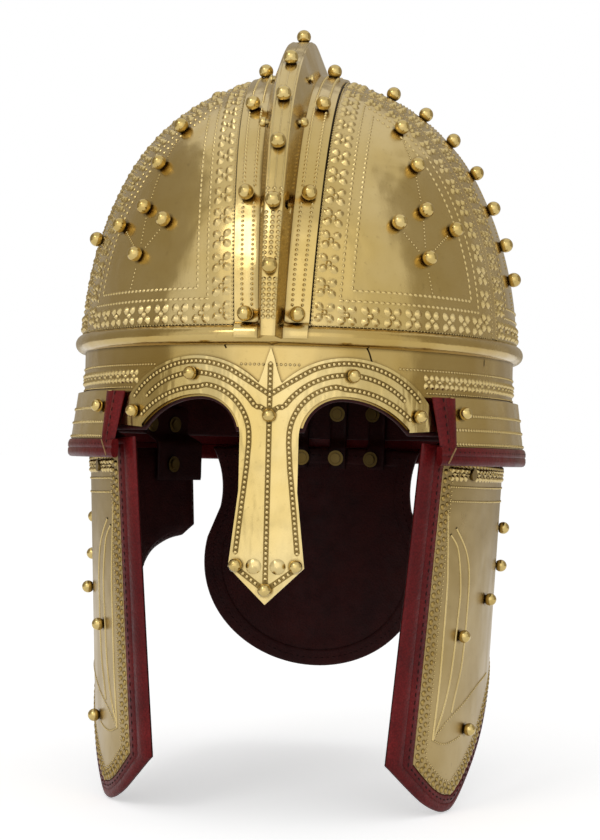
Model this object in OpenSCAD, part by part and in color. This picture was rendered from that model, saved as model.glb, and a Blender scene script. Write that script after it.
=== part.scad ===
// Late Roman ridge helmet: six embossed brass plates, a ridge with flanges, a nasal guard with brows,
// and leather-backed cheek pieces and neck guard that hang on leather straps.
// Millimetres, +Z up. The face looks along -Y and the wearer's left is +X.
// The origin is the middle of the bowl's opening, at the rim, where the head carries it.

/* [Bowl] */
// Half the width of the bowl outside, at the rim
bowl_half_w = 105; // [102:0.5:108]
// Half the length of the bowl outside, at the rim
bowl_half_l = 126; // [122:1:130]
// Height of the bowl above the rim
bowl_h = 132.5; // [129:0.5:136]
// Radius of the round crown, seen from the front
crown_r = 96.7; // [94:0.1:99]
// Thickness of the bowl plates
plate_t = 1.2; // [0.8:0.1:1.4]
// Gap between neighbouring plates
seam_gap = 0.3; // [0.2:0.1:0.6]
// Distance of the side seams from the middle, at the rim
seam_y = 54.5; // [50:0.5:58]
// How far a seam leans towards the middle for each millimetre of height
seam_lean = 0.05; // [0:0.01:0.1]

/* [Ridge] */
// Thickness of the ridge sheet
ridge_t = 1.2; // [0.8:0.1:1.5]
// Height of the ridge above the bowl at its front and rear feet
ridge_foot_h = 13.6; // [11:0.2:16]
// Height of the ridge above the bowl at the crown
ridge_crown_h = 17; // [15:0.5:19]
// Half the width of the ridge's face at the feet
ridge_face_w = 3.4; // [3.2:0.1:4.5]
// Half the width of a flange's outer edge from the middle, at the rim
flange_foot_w = 15.6; // [14.5:0.1:18]
// Height of the cross pin that shows in the slots
pin_z = 91; // [84:1:92]
// Height of the square holes in the ridge's walls
wall_hole_z = 52; // [45:1:60]

/* [Rim and band] */
// Radius of the half-round moulding on the rim
roll_r = 4.25; // [3.5:0.05:5]
// Thickness of the moulding's sheet
roll_t = 1; // [0.8:0.1:1.4]
// Thickness of the brow band
band_t = 1; // [0.8:0.1:1.2]
// Lower edge of the brow band below the rim
band_low = 39; // [37:0.5:40]

/* [Lining] */
// Thickness of the leather lining
liner_t = 2; // [1.5:0.1:2.5]
// Lower edge of the lining below the rim
liner_low = 41; // [40:0.5:41.5]
// Upper edge of the lining above the rim
liner_top = 14; // [8:1:16]

/* [Nasal guard] */
// Thickness of the nasal guard
nasal_t = 1.4; // [1:0.1:1.6]
// Radius of the brows' outer arches
brow_r = 39.6; // [38:0.2:41]
// Height of the arches' tops below the rim
brow_top = 8.8; // [8:0.2:10]
// Distance of the arches' centres from the middle
brow_x = 32.8; // [32:0.2:34]
// Height of the eye openings' tops below the rim
eye_top = 25.1; // [24:0.2:26.5]
// Radius of the eye openings beside the nose
eye_inner_r = 18; // [17.4:0.1:18.4]
// Radius of the eye openings towards the temples
eye_outer_r = 36; // [35:0.5:38]
// Half the width of the nose piece below the eyes
stem_w = 12.3; // [11.4:0.1:12.4]
// Half the width of the nose piece at its lower corners
stem_low_w = 16.2; // [15:0.2:18]
// Depth of the nose piece's tip below the rim
nasal_low = 113.7; // [108:0.5:118]

/* [Skirt] */
// Thickness of the skirt's brass
skirt_t = 1.1; // [0.8:0.1:1.4]
// Lower edge of the skirt's brass below the rim
skirt_low = 45; // [44:0.5:46]
// Lower edge of the skirt's leather edging below the rim
skirt_edge_low = 53.4; // [51:0.2:54]
// How far the skirt flares out from top to bottom
skirt_flare = 2.8; // [2:0.1:3.4]

/* [Cheek pieces] */
// Half the width between the cheek sheets' outer faces, at the hinges
cheek_half_w = 99.95; // [99.6:0.05:100.2]
// Half the length of the oval that the cheek pieces follow
cheek_half_l = 122.5; // [121:0.5:124]
// Thickness of the cheek's leather base
cheek_leather_t = 3; // [2:0.1:3.2]
// Thickness of the cheek's brass sheet
cheek_brass_t = 1.1; // [0.8:0.1:1.4]
// Width of the rolled edge along the front
cheek_front_edge = 10; // [8:0.5:12]
// Width of the rolled edge along the rear
cheek_rear_edge = 4.5; // [4:0.5:6]
// Inward lean of the hanging cheek pieces in degrees
cheek_lean = 2.6; // [1:0.1:4]

/* [Neck guard] */
// Half the width of the neck guard's round part
neck_r = 60; // [56:0.5:62]
// Depth of the neck guard's lowest point below the rim
neck_low = 167.5; // [160:0.5:174]
// Half the width of the neck guard at its waist
neck_waist_w = 51.4; // [48:0.2:53]
// Depth of the waist below the rim
neck_waist_z = 68; // [64:0.5:72]
// Width of the neck guard's rolled edge
neck_edge = 9; // [6:0.5:10]
// Thickness of the neck guard's leather
neck_leather_t = 1.8; // [1.4:0.1:2.2]
// Backward lean of the neck guard in degrees
neck_lean = 4; // [2:0.5:6]

/* [Straps] */
// Thickness of the hinge straps
strap_t = 2; // [1.4:0.1:2.2]
// Width of a cheek strap
cheek_strap_w = 26; // [20:1:28]
// Width of a neck strap
neck_strap_w = 9.5; // [7:0.5:11]

/* [Studs] */
// Radius of the ball studs on the bowl
stud_r = 3.4; // [2.8:0.1:3.8]
// Radius of the ball studs on the brows, skirt and cheeks
small_stud_r = 2.9; // [2.4:0.1:3.2]
// Radius of a stud's shank
shank_r = 1.2; // [0.8:0.1:1.4]

/* [Hidden] */
$fn = 96;
// Fineness of the big ovals
oval_fn = 180;
// Free play round a shank or pin
shank_play = 0.05;
// The cheek studs sit looser, as the plate curves under them
cheek_stud_play = 0.12;
cheek_stud_seat = 0.12;
// Lift of a rivet's head over the curved face under it
rivet_seat = 0.03;
// Free play between sheets that lie on each other
lay_gap = 0.15;
// Longer than any part, for cutting shapes
far = 260;
// How far a cutting shape reaches beyond a face
beyond = 5;

// The oval is drawn round and then stretched to its length
stretch = bowl_half_l / bowl_half_w;
crown_z = bowl_h - crown_r;
flank_r = (pow(bowl_half_w, 2) + pow(crown_z, 2) - pow(crown_r, 2)) / (2 * (bowl_half_w - crown_r));
flank_x = bowl_half_w - flank_r;
join_a = atan2(crown_z, -flank_x);

band_r = bowl_half_w - plate_t - 0.3;
roll_x = band_r + 0.45;
plate_low = roll_r + lay_gap;
liner_out = band_r - band_t - 0.3;
nasal_in = band_r + lay_gap;
ridge_lay = 0.2;
flange_top = ridge_lay + ridge_t;

// Heights where the studs' axes meet the bowl
ridge_stud_zs = [25.3, 51.1, 75.7, 96, 114.2, 131.2];
// Middle line of the flange studs as [distance from the middle, height]
flange_stud_points = [[10.8, 8.6], [13.3, 60.9], [15.4, 104.5], [15.9, 128.6]];
// Arrow of studs on a front or rear plate as [distance from the middle, height]
arrow_studs = [[49, 97], [56.7, 78.8], [61.3, 57.9], [74, 50.9], [50.4, 50.8], [63.4, 36.2]];
// Upright row of studs on a side plate
side_row_y = 20;
side_row_zs = [34.7, 50.9, 68, 84.5, 99.5, 111.5, 121];
nasal_stud_x = 12.5;
nasal_stud_z = 97.3;
brow_studs = [[34.3, -16.4], [61.6, -32.6]];
boss_x = 5.1;
boss_z = 97.6;
// Outline of a cheek piece as [y, z], before it leans: a corner, the curved lower edge, three corners
cheek_points = [
    [-93, -44.5],
    [-98.5, -185], [-90, -194.5], [-81, -202.5], [-72, -207.2], [-64.5, -208.4], [-57.5, -205.8],
    [-44, -194.2], [-25.5, -179], [-8, -165], [15, -154], [34, -143.5], [46, -130],
    [50.5, -114], [59, -103.5], [72, -97.3], [82, -95.2],
    [88.5, -90], [88.5, -54], [84, -48.5]
];
// Ball studs on a cheek piece as [y, z]
cheek_studs_at = [[0, -82], [-5, -100], [-35.2, -114.3], [-64, -129.6], [-52.7, -172.6]];
cheek_in = cheek_half_w - cheek_brass_t - 0.05 - cheek_leather_t;
cheek_rim_out = cheek_half_w + 0.25;
cheek_rim_in = cheek_in - 0.8;
cheek_hinge_x = 80;
cheek_hinge_z = -47;
front_strap_y = -62;
rear_strap_y = 72;
strap_rivet_z = -35.5;
cheek_rivet_z = -57;
neck_in = 99.5;
neck_ratio = 1.19;
neck_top = 45.5;
neck_top_w = 57.5;
neck_brass_t = 1;
neck_hinge_y = 118;
neck_hinge_z = -44;
neck_strap_xs = [-32, -10.5, 10.5, 32];
neck_rivet_z = -51;

// Colours
brass = [0.80, 0.66, 0.35];
stud_brass = [0.66, 0.53, 0.28];
leather = [0.36, 0.06, 0.09];
dark_leather = [0.22, 0.05, 0.07];

// Surface of the bowl
// Radius of the round bowl at a height, at an offset outwards from its surface
function bowl_r(z, o) = z < 0 ? bowl_half_w + o
    : z < (flank_r + o) * sin(join_a) ? flank_x + sqrt(pow(flank_r + o, 2) - z * z)
    : sqrt(max(0, pow(crown_r + o, 2) - pow(z - crown_z, 2)));
// Slope angle of the surface's normal at that height, 0 when it points level
function bowl_a(z, o) = z < 0 ? 0
    : z < (flank_r + o) * sin(join_a) ? asin(z / (flank_r + o))
    : asin(min(1, (z - crown_z) / (crown_r + o)));
function unit(v) = v / norm(v);
// Point of a stretched oval wall of radius r at x and height z, in front for side -1
function wall_at(x, z, r, side) = [x, side * stretch * sqrt(max(0, r * r - x * x)), z];
function bowl_at(x, z, o, side) = wall_at(x, z, bowl_r(z, o), side);
// Half the width at y, and half the length at x, of an oval with radius r and this ratio of length to width
function oval_x(y, r, ratio) = sqrt(r * r - pow(y / ratio, 2));
function oval_y(x, r, ratio) = ratio * sqrt(r * r - x * x);
function bowl_normal(p, o) = let (a = bowl_a(p[2], o), r = bowl_r(p[2], o))
    unit([p[0] / r * cos(a), p[1] / stretch / r * cos(a) / stretch, sin(a)]);

// Turns children from +Z to direction n and moves them to p
module stand(p, n) {
    translate(p)
        rotate([0, acos(n[2]), atan2(n[1], n[0])])
            children();
}

module stand_on_bowl(x, z, o, side) {
    p = bowl_at(x, z, o, side);
    stand(p, bowl_normal(p, o)) children();
}

// Half outline of the bowl at an offset o, with its axis on x = 0
module bowl_half(o) {
    intersection() {
        translate([flank_x, 0]) circle(flank_r + o, $fn = 720);
        polygon([[0, 0], [far, 0], [far, crown_z + far * tan(join_a)], [0, crown_z]]);
    }
    intersection() {
        translate([0, crown_z]) circle(crown_r + o, $fn = 360);
        polygon([[0, crown_z], [far, crown_z + far * tan(join_a)], [far, far], [0, far]]);
    }
}

// Profile of the plates' shell
module bowl_profile() {
    difference() {
        bowl_half(0);
        translate([0, -0.001]) bowl_half(-plate_t);
    }
}

module stretched() {
    scale([1, stretch, 1]) children();
}

// Left half of a round wall or ring, not yet stretched
module half_turn() {
    rotate([0, 0, -90]) rotate_extrude(angle = 180, $fn = oval_fn) children();
}

// Ball stud standing on z = 0 with its shank going down through the sheets
module ball_stud(r, grip) {
    difference() {
        translate([0, 0, 0.75 * r]) sphere(r);
        translate([0, 0, -r]) cube([3 * r, 3 * r, 2 * r], center = true);
    }
    translate([0, 0, -grip]) cylinder(r = shank_r, h = grip + r / 2);
}

module shank_hole(grip, play = shank_play) {
    translate([0, 0, -grip - 2]) cylinder(r = shank_r + play, h = grip + 4);
}

// Bowl plates
plate_grip = plate_t + 0.4;
plate_mid_gap = 1.5;

// Region of a plate seen from the side, as [y, z]; -2 is the front end, -1 and 1 are seams, 2 is the rear end
module between_seams(from_side, to_side) {
    function edge(side, z) = abs(side) > 1 ? side * far : side * (seam_y - seam_lean * z);
    half = seam_gap / 2;
    low = plate_low;
    high = bowl_h + 20;
    polygon([
        [edge(from_side, low) + half, low], [edge(to_side, low) - half, low],
        [edge(to_side, high) - half, high], [edge(from_side, high) + half, high]
    ]);
}

// A plate on the wearer's left; it ends short of the middle, under the ridge's flange
module bowl_plate(from_side, to_side) {
    intersection() {
        stretched()
            rotate_extrude($fn = oval_fn)
                bowl_profile();
        translate([plate_mid_gap, 0, 0])
            rotate([90, 0, 90])
                linear_extrude(height = far)
                    between_seams(from_side, to_side);
    }
}

module arrow_at(side) {
    for (s = arrow_studs)
        stand_on_bowl(s[0], s[1], 0, side) children();
}

// A side plate's row stands across the bowl, so its distance from the middle follows from its height
module side_row_at(y) {
    for (z = side_row_zs) {
        x = sqrt(pow(bowl_r(z, 0), 2) - pow(y / stretch, 2));
        p = [x, y, z];
        stand(p, bowl_normal(p, 0)) children();
    }
}

// Two single studs on the right side plate, given here on its mirror image as [height, y]
module spare_studs_at() {
    for (s = [[48, -47], [122.5, 0]]) {
        p = [sqrt(pow(bowl_r(s[0], 0), 2) - pow(s[1] / stretch, 2)), s[1], s[0]];
        stand(p, bowl_normal(p, 0)) children();
    }
}

// Where the flange studs go through a plate, on the +X side
module flange_studs_at(side) {
    for (s = flange_stud_points)
        stand_on_bowl(s[0], s[1], flange_top + 0.05, side) children();
}

module drilled_front_plate() {
    difference() {
        bowl_plate(-2, -1);
        arrow_at(-1) shank_hole(plate_grip);
        flange_studs_at(-1) shank_hole(flange_top + plate_grip);
    }
}

module drilled_side_plate(row_y) {
    difference() {
        bowl_plate(-1, 1);
        side_row_at(row_y) shank_hole(plate_grip);
        if (row_y > 0) spare_studs_at() shank_hole(plate_grip);
        flange_studs_at(-1) shank_hole(flange_top + plate_grip);
        flange_studs_at(1) shank_hole(flange_top + plate_grip);
    }
}

module front_plate_left() {
    color(brass) drilled_front_plate();
}

module front_plate_right() {
    color(brass) mirror([1, 0, 0]) drilled_front_plate();
}

module rear_plate_left() {
    color(brass) mirror([0, 1, 0]) drilled_front_plate();
}

module rear_plate_right() {
    color(brass) mirror([1, 0, 0]) mirror([0, 1, 0]) drilled_front_plate();
}

module side_plate_left() {
    color(brass) drilled_side_plate(-side_row_y);
}

module side_plate_right() {
    color(brass) mirror([1, 0, 0]) drilled_side_plate(side_row_y);
}

module arrow_studs_left() {
    color(stud_brass) arrow_at(-1) ball_stud(stud_r, plate_grip);
}

module front_studs_left() {
    arrow_studs_left();
}

module front_studs_right() {
    mirror([1, 0, 0]) arrow_studs_left();
}

module rear_studs_left() {
    mirror([0, 1, 0]) arrow_studs_left();
}

module rear_studs_right() {
    mirror([1, 0, 0]) mirror([0, 1, 0]) arrow_studs_left();
}

module side_studs_left() {
    color(stud_brass) side_row_at(-side_row_y) ball_stud(stud_r, plate_grip);
}

module side_studs_right() {
    color(stud_brass)
        mirror([1, 0, 0]) {
            side_row_at(side_row_y) ball_stud(stud_r, plate_grip);
            spare_studs_at() ball_stud(stud_r, plate_grip);
        }
}

// Ridge
// It is lofted as one bent sheet: a ring of points at each station from the front foot to the rear one.
// A station is [kind, angle]: 0 on the crown, 1 on the flank, 2 on the moulding round the rim.
crown_steps = 12;
flank_steps = 10;
roll_steps = 4;
flank_low_a = asin(6.2 / flank_r);
roll_seat_r = roll_r + ridge_lay;
front_stations = concat(
    [for (i = [0:roll_steps]) [2, -14 + i * (66 + 14) / roll_steps]],
    [for (i = [0:flank_steps - 1]) [1, flank_low_a + i * (join_a - flank_low_a) / flank_steps]],
    [for (i = [0:crown_steps]) [0, join_a + i * (90 - join_a) / crown_steps]]
);
// Height of a station on the bowl's surface
function station_z(s) = s[0] == 0 ? crown_z + crown_r * sin(s[1])
    : s[0] == 1 ? flank_r * sin(s[1])
    : roll_seat_r * sin(s[1]);
// Level distance from the axis at a station, before stretching
function station_r(s) = s[0] == 0 ? crown_r * cos(s[1])
    : s[0] == 1 ? flank_x + flank_r * cos(s[1])
    : roll_x + roll_seat_r * cos(s[1]) - ridge_lay;
function station_n(s) = unit([cos(s[1]) / stretch, sin(s[1])]);
// The ridge's own height, width and wall lean grow towards the crown
function ridge_h(z) = ridge_foot_h
    + (ridge_crown_h - ridge_foot_h) * pow(sin(bowl_a(max(z, 0), 0)), 8);
function face_w(z) = ridge_face_w + 0.016 * max(z, 0);
function wall_lean(z) = 0.14 + 0.0017 * max(z, 0);
function base_w(z) = face_w(z) + wall_lean(z) * (ridge_h(z) - 2.5);
function flange_w(z) = flange_foot_w + 0.048 * max(z, 0);
// A point over the bowl at x, lifted by h along the station's normal
function seat_point(s, x, h) = let (n = station_n(s), r = station_r(s))
    s[0] == 0
        ? let (q = sqrt(crown_r * crown_r - x * x))
            [x, -stretch * q * cos(s[1]) - h * n[0], crown_z + q * sin(s[1]) + h * n[1]]
        : [x, -stretch * sqrt(r * r - x * x) - h * n[0], station_z(s) + h * n[1]];
// A point of the ridge's box, measured from the bowl's own surface on the middle line
function box_point(s, x, h) =
    let (z = station_z(s), a = bowl_a(max(z, 0), 0), n = unit([cos(a) / stretch, sin(a)]))
    [x, -stretch * bowl_r(z, 0) - h * n[0], z + h * n[1]];
// Right half of a ring: along the under side from the face to the flange, then back along the upper side
function half_ring(s) =
    let (z = station_z(s), w = flange_w(z), b = base_w(z), f = face_w(z), h = ridge_h(z)) [
        box_point(s, f - 1.8, h - ridge_t),
        box_point(s, f - ridge_t - 0.2, h - ridge_t - 0.3),
        box_point(s, f - ridge_t + 0.15, h - ridge_t - 1),
        seat_point(s, b - ridge_t, ridge_lay + 1.4),
        seat_point(s, b - ridge_t + 0.5, ridge_lay + 0.3),
        seat_point(s, b + 0.8, ridge_lay),
        seat_point(s, (w + b) / 2, ridge_lay),
        seat_point(s, w, ridge_lay),
        seat_point(s, w, flange_top),
        seat_point(s, (w + b) / 2, flange_top),
        seat_point(s, b + 1.8, flange_top),
        seat_point(s, b + 0.5, flange_top + 0.5),
        seat_point(s, b, flange_top + 1.8),
        box_point(s, f + 0.15, h - 1.6),
        box_point(s, f - 0.4, h - 0.4),
        box_point(s, f - 1.6, h)
    ];
function reversed(list) = [for (i = [len(list) - 1:-1:0]) list[i]];
function flipped_x(list) = [for (p = list) [-p[0], p[1], p[2]]];
function flipped_y(list) = [for (p = list) [p[0], -p[1], p[2]]];
function ring(s) = concat(half_ring(s), reversed(flipped_x(half_ring(s))));
front_rings = [for (s = front_stations) ring(s)];
rear_rings = [for (i = [len(front_rings) - 2:-1:0]) flipped_y(front_rings[i])];

// Closed loft of a bent sheet through rings of n points, where point j of the under side lies below
// point n / 2 - 1 - j of the upper side on each half
module sheet_loft(rings) {
    n = len(rings[0]);
    last = (len(rings) - 1) * n;
    sides = [for (i = [0:len(rings) - 2]) for (j = [0:n - 1])
        let (a = i * n + j, b = i * n + (j + 1) % n, c = a + n, d = b + n)
            each [[a, c, b], [b, c, d]]];
    right = [for (j = [0:n / 4 - 2]) [j, j + 1, n / 2 - 2 - j, n / 2 - 1 - j]];
    left = [for (q = right) [n - 1 - q[1], n - 1 - q[0], n - 1 - q[3], n - 1 - q[2]]];
    cap = concat(right, left, [[n - 1, 0, n / 2 - 1, n / 2]]);
    caps = [for (q = cap) each [
        [q[0], q[1], q[2]], [q[0], q[2], q[3]],
        [last + q[0], last + q[2], last + q[1]], [last + q[0], last + q[3], last + q[2]]
    ]];
    polyhedron(points = [for (r = rings) each r], faces = concat(sides, caps), convexity = 6);
}

// Children stand at height h over the bowl on the ridge's middle line, upright on it, at bowl height z
module on_middle(z, h, side) {
    a = bowl_a(z, 0);
    n = unit([0, side * cos(a) / stretch, sin(a)]);
    stand([0, side * stretch * bowl_r(z, 0), z] + h * n, n) children();
}

// Distance of the ridge's outer wall from the middle at height h over the bowl
function wall_x(z, h) = let (low = flange_top + 1.8, high = ridge_h(z) - 1.6)
    base_w(z) - (base_w(z) - face_w(z) - 0.15) * (h - low) / (high - low);
wall_hole_h = 7.6;
wall_hole_w = 3.4;
wall_hole_l = 7;
pin_h = 6;
pin_r = 1.2;
pin_end_r = 2.2;
flat_pin_z = 115;
flat_end_r = 1.9;

module both_ends() {
    children();
    mirror([0, 1, 0]) children();
}

module both_sides() {
    children();
    mirror([1, 0, 0]) children();
}

module ridge() {
    color(brass)
        difference() {
            sheet_loft(concat(front_rings, rear_rings));
            both_ends() {
                for (z = ridge_stud_zs)
                    on_middle(z, ridge_h(z), -1)
                        cylinder(r = shank_r + shank_play, h = 3 * ridge_t, center = true);
                both_sides() flange_studs_at(-1) shank_hole(flange_top);
                for (z = [pin_z, flat_pin_z])
                    on_middle(z, pin_h, -1)
                        rotate([90, 0, 0])
                            cylinder(r = pin_r + shank_play, h = 4 * base_w(z), center = true);
                on_middle(wall_hole_z, wall_hole_h, -1)
                    cube([wall_hole_w, 4 * base_w(wall_hole_z), wall_hole_l], center = true);
            }
        }
}

module ridge_pins() {
    color(stud_brass)
        both_ends() {
            reach = wall_x(pin_z, pin_h - pin_end_r) + 0.05;
            on_middle(pin_z, pin_h, -1)
                rotate([90, 0, 0]) {
                    cylinder(r = pin_r, h = 2 * reach + 1, center = true);
                    for (side = [-1, 1])
                        intersection() {
                            translate([0, 0, side * (reach + 0.9)]) sphere(pin_end_r);
                            translate([0, 0, side * (reach + 5)]) cube(10, center = true);
                        }
                }
            flat_reach = wall_x(flat_pin_z, pin_h - flat_end_r) + 0.05;
            on_middle(flat_pin_z, pin_h, -1)
                rotate([90, 0, 0]) {
                    cylinder(r = pin_r, h = 2 * flat_reach + 1, center = true);
                    for (side = [-1, 1])
                        translate([0, 0, side * (flat_reach + 0.4)])
                            cylinder(r = flat_end_r, h = 0.8, center = true);
                }
        }
}

module ridge_studs() {
    color(stud_brass)
        both_ends()
            for (z = ridge_stud_zs)
                on_middle(z, ridge_h(z) + 0.05, -1) ball_stud(stud_r, ridge_t + 0.4);
}

module flange_studs() {
    color(stud_brass)
        both_ends()
            both_sides()
                flange_studs_at(-1) ball_stud(stud_r, flange_top + plate_grip);
}

// Rim and band
band_above = 8;

module rim_roll() {
    color(brass)
        both_sides()
            stretched()
                half_turn()
                    intersection() {
                        translate([roll_x, 0])
                            difference() {
                                circle(roll_r);
                                circle(roll_r - roll_t);
                            }
                        translate([band_r + 0.05, -far / 2]) square([far, far]);
                    }
}

// Children as a flat shape of [x, z] pushed through the front of the helmet
module through_front() {
    rotate([90, 0, 0]) linear_extrude(height = far) children();
}

// Points of an arc from angle a0 to angle a1 in n steps
function arc(centre, r, a0, a1, n) =
    [for (i = [0:n]) let (a = a0 + i * (a1 - a0) / n) centre + r * [cos(a), sin(a)]];

// Eye opening: a small arc beside the nose runs on into a large one towards the temple
eye_mid_x = 30.5;
eye_low = 55;
// How much smaller the eye openings are in the band and the lining than in the nasal guard
band_eye_inset = 1;
lining_eye_inset = 2.2;
eye_inner_c = [eye_mid_x, -eye_top - eye_inner_r];
eye_outer_c = [eye_mid_x, -eye_top - eye_outer_r];

// The left eye opening as a flat shape of [x, z], made smaller all round by inset
module eye_shape(inset) {
    r = eye_outer_r - inset;
    polygon(concat(
        [[eye_mid_x - eye_inner_r + inset, -eye_low]],
        arc(eye_inner_c, eye_inner_r - inset, 180, 90, 20),
        arc(eye_outer_c, r, 87, asin((eye_top + eye_outer_r - eye_low) / r), 20)
    ));
}

// Rear half of the band
module band_half() {
    stretched()
        rotate_extrude(angle = 180, $fn = oval_fn)
            translate([band_r - band_t, -band_low]) square([band_t, band_low + band_above]);
}

module brow_band() {
    color(brass)
        difference() {
            union() {
                band_half();
                difference() {
                    mirror([0, 1, 0]) band_half();
                    both_sides() through_front() eye_shape(band_eye_inset);
                }
            }
            brow_studs_at() shank_hole(nasal_grip);
            strap_rivets_at() shank_hole(rivet_hole);
            skirt_studs_at() shank_hole(skirt_grip);
        }
}

module flat_oval(r) {
    polygon([for (a = [0:3:357]) r * [cos(a), stretch * sin(a)]]);
}

module lining_band() {
    color(leather)
        difference() {
            translate([0, 0, -liner_low])
                linear_extrude(height = liner_low + liner_top)
                    difference() {
                        flat_oval(liner_out);
                        flat_oval(liner_out - liner_t);
                    }
            both_sides() through_front() eye_shape(lining_eye_inset);
            strap_rivets_at() shank_hole(rivet_hole);
        }
}

// Nasal guard
nasal_out = nasal_in + nasal_t;
nasal_grip = nasal_t + lay_gap + band_t + 0.25;
nasal_seat = 0.02;
spike_w = 4.4;
spike_low = 19.2;
spike_top = roll_r + 1;
arch_c = [brow_x, -brow_top - brow_r];

// Left half of the outline as [x, z]: spike, outer arch, brow's end, eye, nose piece
function nasal_half() = concat(
    [[0, -spike_top], [1.5, -9.6], [2.9, -14.8], [spike_w, -spike_low]],
    arc(arch_c, brow_r, 134.6, 33, 24),
    [[69.8, -38.6], [58.3, -39.6]],
    arc(eye_outer_c, eye_outer_r, 39, 90, 14),
    arc(eye_inner_c, eye_inner_r, 96, 180, 16),
    [[stem_w + 0.2, -66], [stem_low_w, -nasal_low + 15.6], [0, -nasal_low]]
);

module nasal_outline() {
    half = nasal_half();
    polygon(concat(half, [for (i = [len(half) - 2:-1:1]) [-half[i][0], half[i][1]]]));
}

// Children stand on the nasal guard's outer face at x and height z
module stand_on_nasal(x, z) {
    p = wall_at(x, z, nasal_out + nasal_seat, -1);
    stand(p, unit([p[0], p[1] / pow(stretch, 2), 0])) children();
}

// Studs that go through the brows and the band
module brow_studs_at() {
    for (s = brow_studs)
        for (side = [-1, 1])
            stand_on_nasal(side * s[0], s[1]) children();
    stand_on_nasal(0, -33.9) children();
}

module nose_studs_at() {
    for (side = [-1, 1])
        stand_on_nasal(side * nasal_stud_x, -nasal_stud_z) children();
    stand_on_nasal(0, -nasal_low + 6.3) children();
}

// Low dome pressed into the nose piece
module boss() {
    intersection() {
        translate([0, 0, -3.9]) sphere(5.1);
        translate([0, 0, -0.7]) cylinder(r = 3.5, h = 3);
    }
}

module nasal_guard() {
    color(brass)
        difference() {
            union() {
                stretched()
                    intersection() {
                        rotate_extrude($fn = oval_fn)
                            translate([nasal_in, -nasal_low - beyond]) square([nasal_t, nasal_low + beyond]);
                        through_front() nasal_outline();
                    }
                for (side = [-1, 1])
                    stand_on_nasal(side * boss_x, -boss_z) boss();
            }
            brow_studs_at() shank_hole(nasal_grip);
            nose_studs_at() shank_hole(nasal_t);
        }
}

module nasal_studs() {
    color(stud_brass) {
        brow_studs_at() ball_stud(small_stud_r, nasal_grip);
        nose_studs_at() ball_stud(small_stud_r, nasal_t + 0.4);
    }
}

// Skirt round the sides and the back
skirt_top = 23.5;
skirt_in = nasal_out + 0.3;
skirt_lean = skirt_flare / (skirt_low - skirt_top);
backing_in = band_r + lay_gap;
skirt_front_y = 98;
edge_top_y = 88.5;
edge_low_y = 93.5;
skirt_stud_depth = 5.2;
skirt_grip = 8;

// Inner radius of the skirt's brass at a height below the rim
function skirt_r(depth) = skirt_in + (depth - skirt_top) * skirt_lean;

module skirt_band_profile() {
    polygon([
        [skirt_r(skirt_top), -skirt_top], [skirt_r(skirt_top) + skirt_t, -skirt_top],
        [skirt_r(skirt_low) + skirt_t, -skirt_low], [skirt_r(skirt_low), -skirt_low]
    ]);
}

module skirt_backing_profile() {
    rise = skirt_in - backing_in - lay_gap;
    low_r = skirt_r(skirt_low) - lay_gap;
    polygon([
        [backing_in, -skirt_top], [backing_in + rise, -skirt_top],
        [low_r, -skirt_low - 0.3], [low_r - rise, -skirt_low - 0.3]
    ]);
}

// Rolled edge along the bottom
module skirt_edge_profile() {
    r = skirt_r(skirt_low);
    polygon([
        [r - 1.5, -skirt_low - 0.15], [r + skirt_t + 0.7, -skirt_low - 0.15],
        [r + skirt_t + 1.3, -skirt_low - 4], [r + skirt_t + 1.4, -skirt_edge_low + 1.4],
        [r + skirt_t + 0.5, -skirt_edge_low], [r - 0.5, -skirt_edge_low], [r - 1.3, -skirt_edge_low + 1.4]
    ]);
}

// Rolled edge up the front
module skirt_front_profile() {
    r = skirt_r(skirt_low);
    polygon([
        [skirt_r(skirt_top), -skirt_top + 0.5], [skirt_r(skirt_top) + skirt_t + 0.7, -skirt_top + 0.5],
        [r + skirt_t + 1.4, -skirt_low], [r + skirt_t + 1.4, -skirt_edge_low + 1.4],
        [r + skirt_t + 0.5, -skirt_edge_low], [r - 0.5, -skirt_edge_low], [r, -skirt_low]
    ]);
}

// Everything behind a slanted plane, as [y before stretching, z], pushed through along X
module behind(top_y, low_y) {
    rise = (low_y - top_y) / (skirt_edge_low - skirt_top);
    rotate([90, 0, 90])
        linear_extrude(height = 2 * far, center = true)
            polygon([
                [-(top_y - rise * skirt_top) / stretch, 0], [far, 0], [far, -far],
                [-(top_y + rise * (far - skirt_top)) / stretch, -far]
            ]);
}

module skirt_band() {
    color(brass)
        difference() {
            stretched()
                intersection() {
                    rotate_extrude($fn = oval_fn) skirt_band_profile();
                    behind(edge_top_y - 0.15, edge_low_y - 0.15);
                }
            skirt_studs_at() shank_hole(skirt_grip);
        }
}

module skirt_leather() {
    color(leather)
        difference() {
            stretched()
                union() {
                    intersection() {
                        rotate_extrude($fn = oval_fn) skirt_backing_profile();
                        behind(edge_top_y, edge_low_y);
                    }
                    intersection() {
                        rotate_extrude($fn = oval_fn) skirt_edge_profile();
                        behind(skirt_front_y, skirt_front_y);
                    }
                    intersection() {
                        rotate_extrude($fn = oval_fn) skirt_front_profile();
                        difference() {
                            behind(skirt_front_y, skirt_front_y);
                            behind(edge_top_y, edge_low_y);
                        }
                    }
                }
            skirt_studs_at() shank_hole(skirt_grip);
        }
}

// Studs through the skirt into the band, as [x, depth, side]
skirt_studs_list = [[80.3, 30.6, -1], [84, 30.6, 1], [45, 30.6, 1]];

module skirt_studs_at() {
    for (s = skirt_studs_list)
        for (hand = [-1, 1]) {
            p = wall_at(hand * s[0], -s[1], skirt_r(s[1]) + skirt_t + 0.05, s[2]);
            out = [p[0], p[1] / pow(stretch, 2)];
            stand(p, unit([out[0], out[1], 0.9 * skirt_lean * norm(out)])) children();
        }
}

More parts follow.
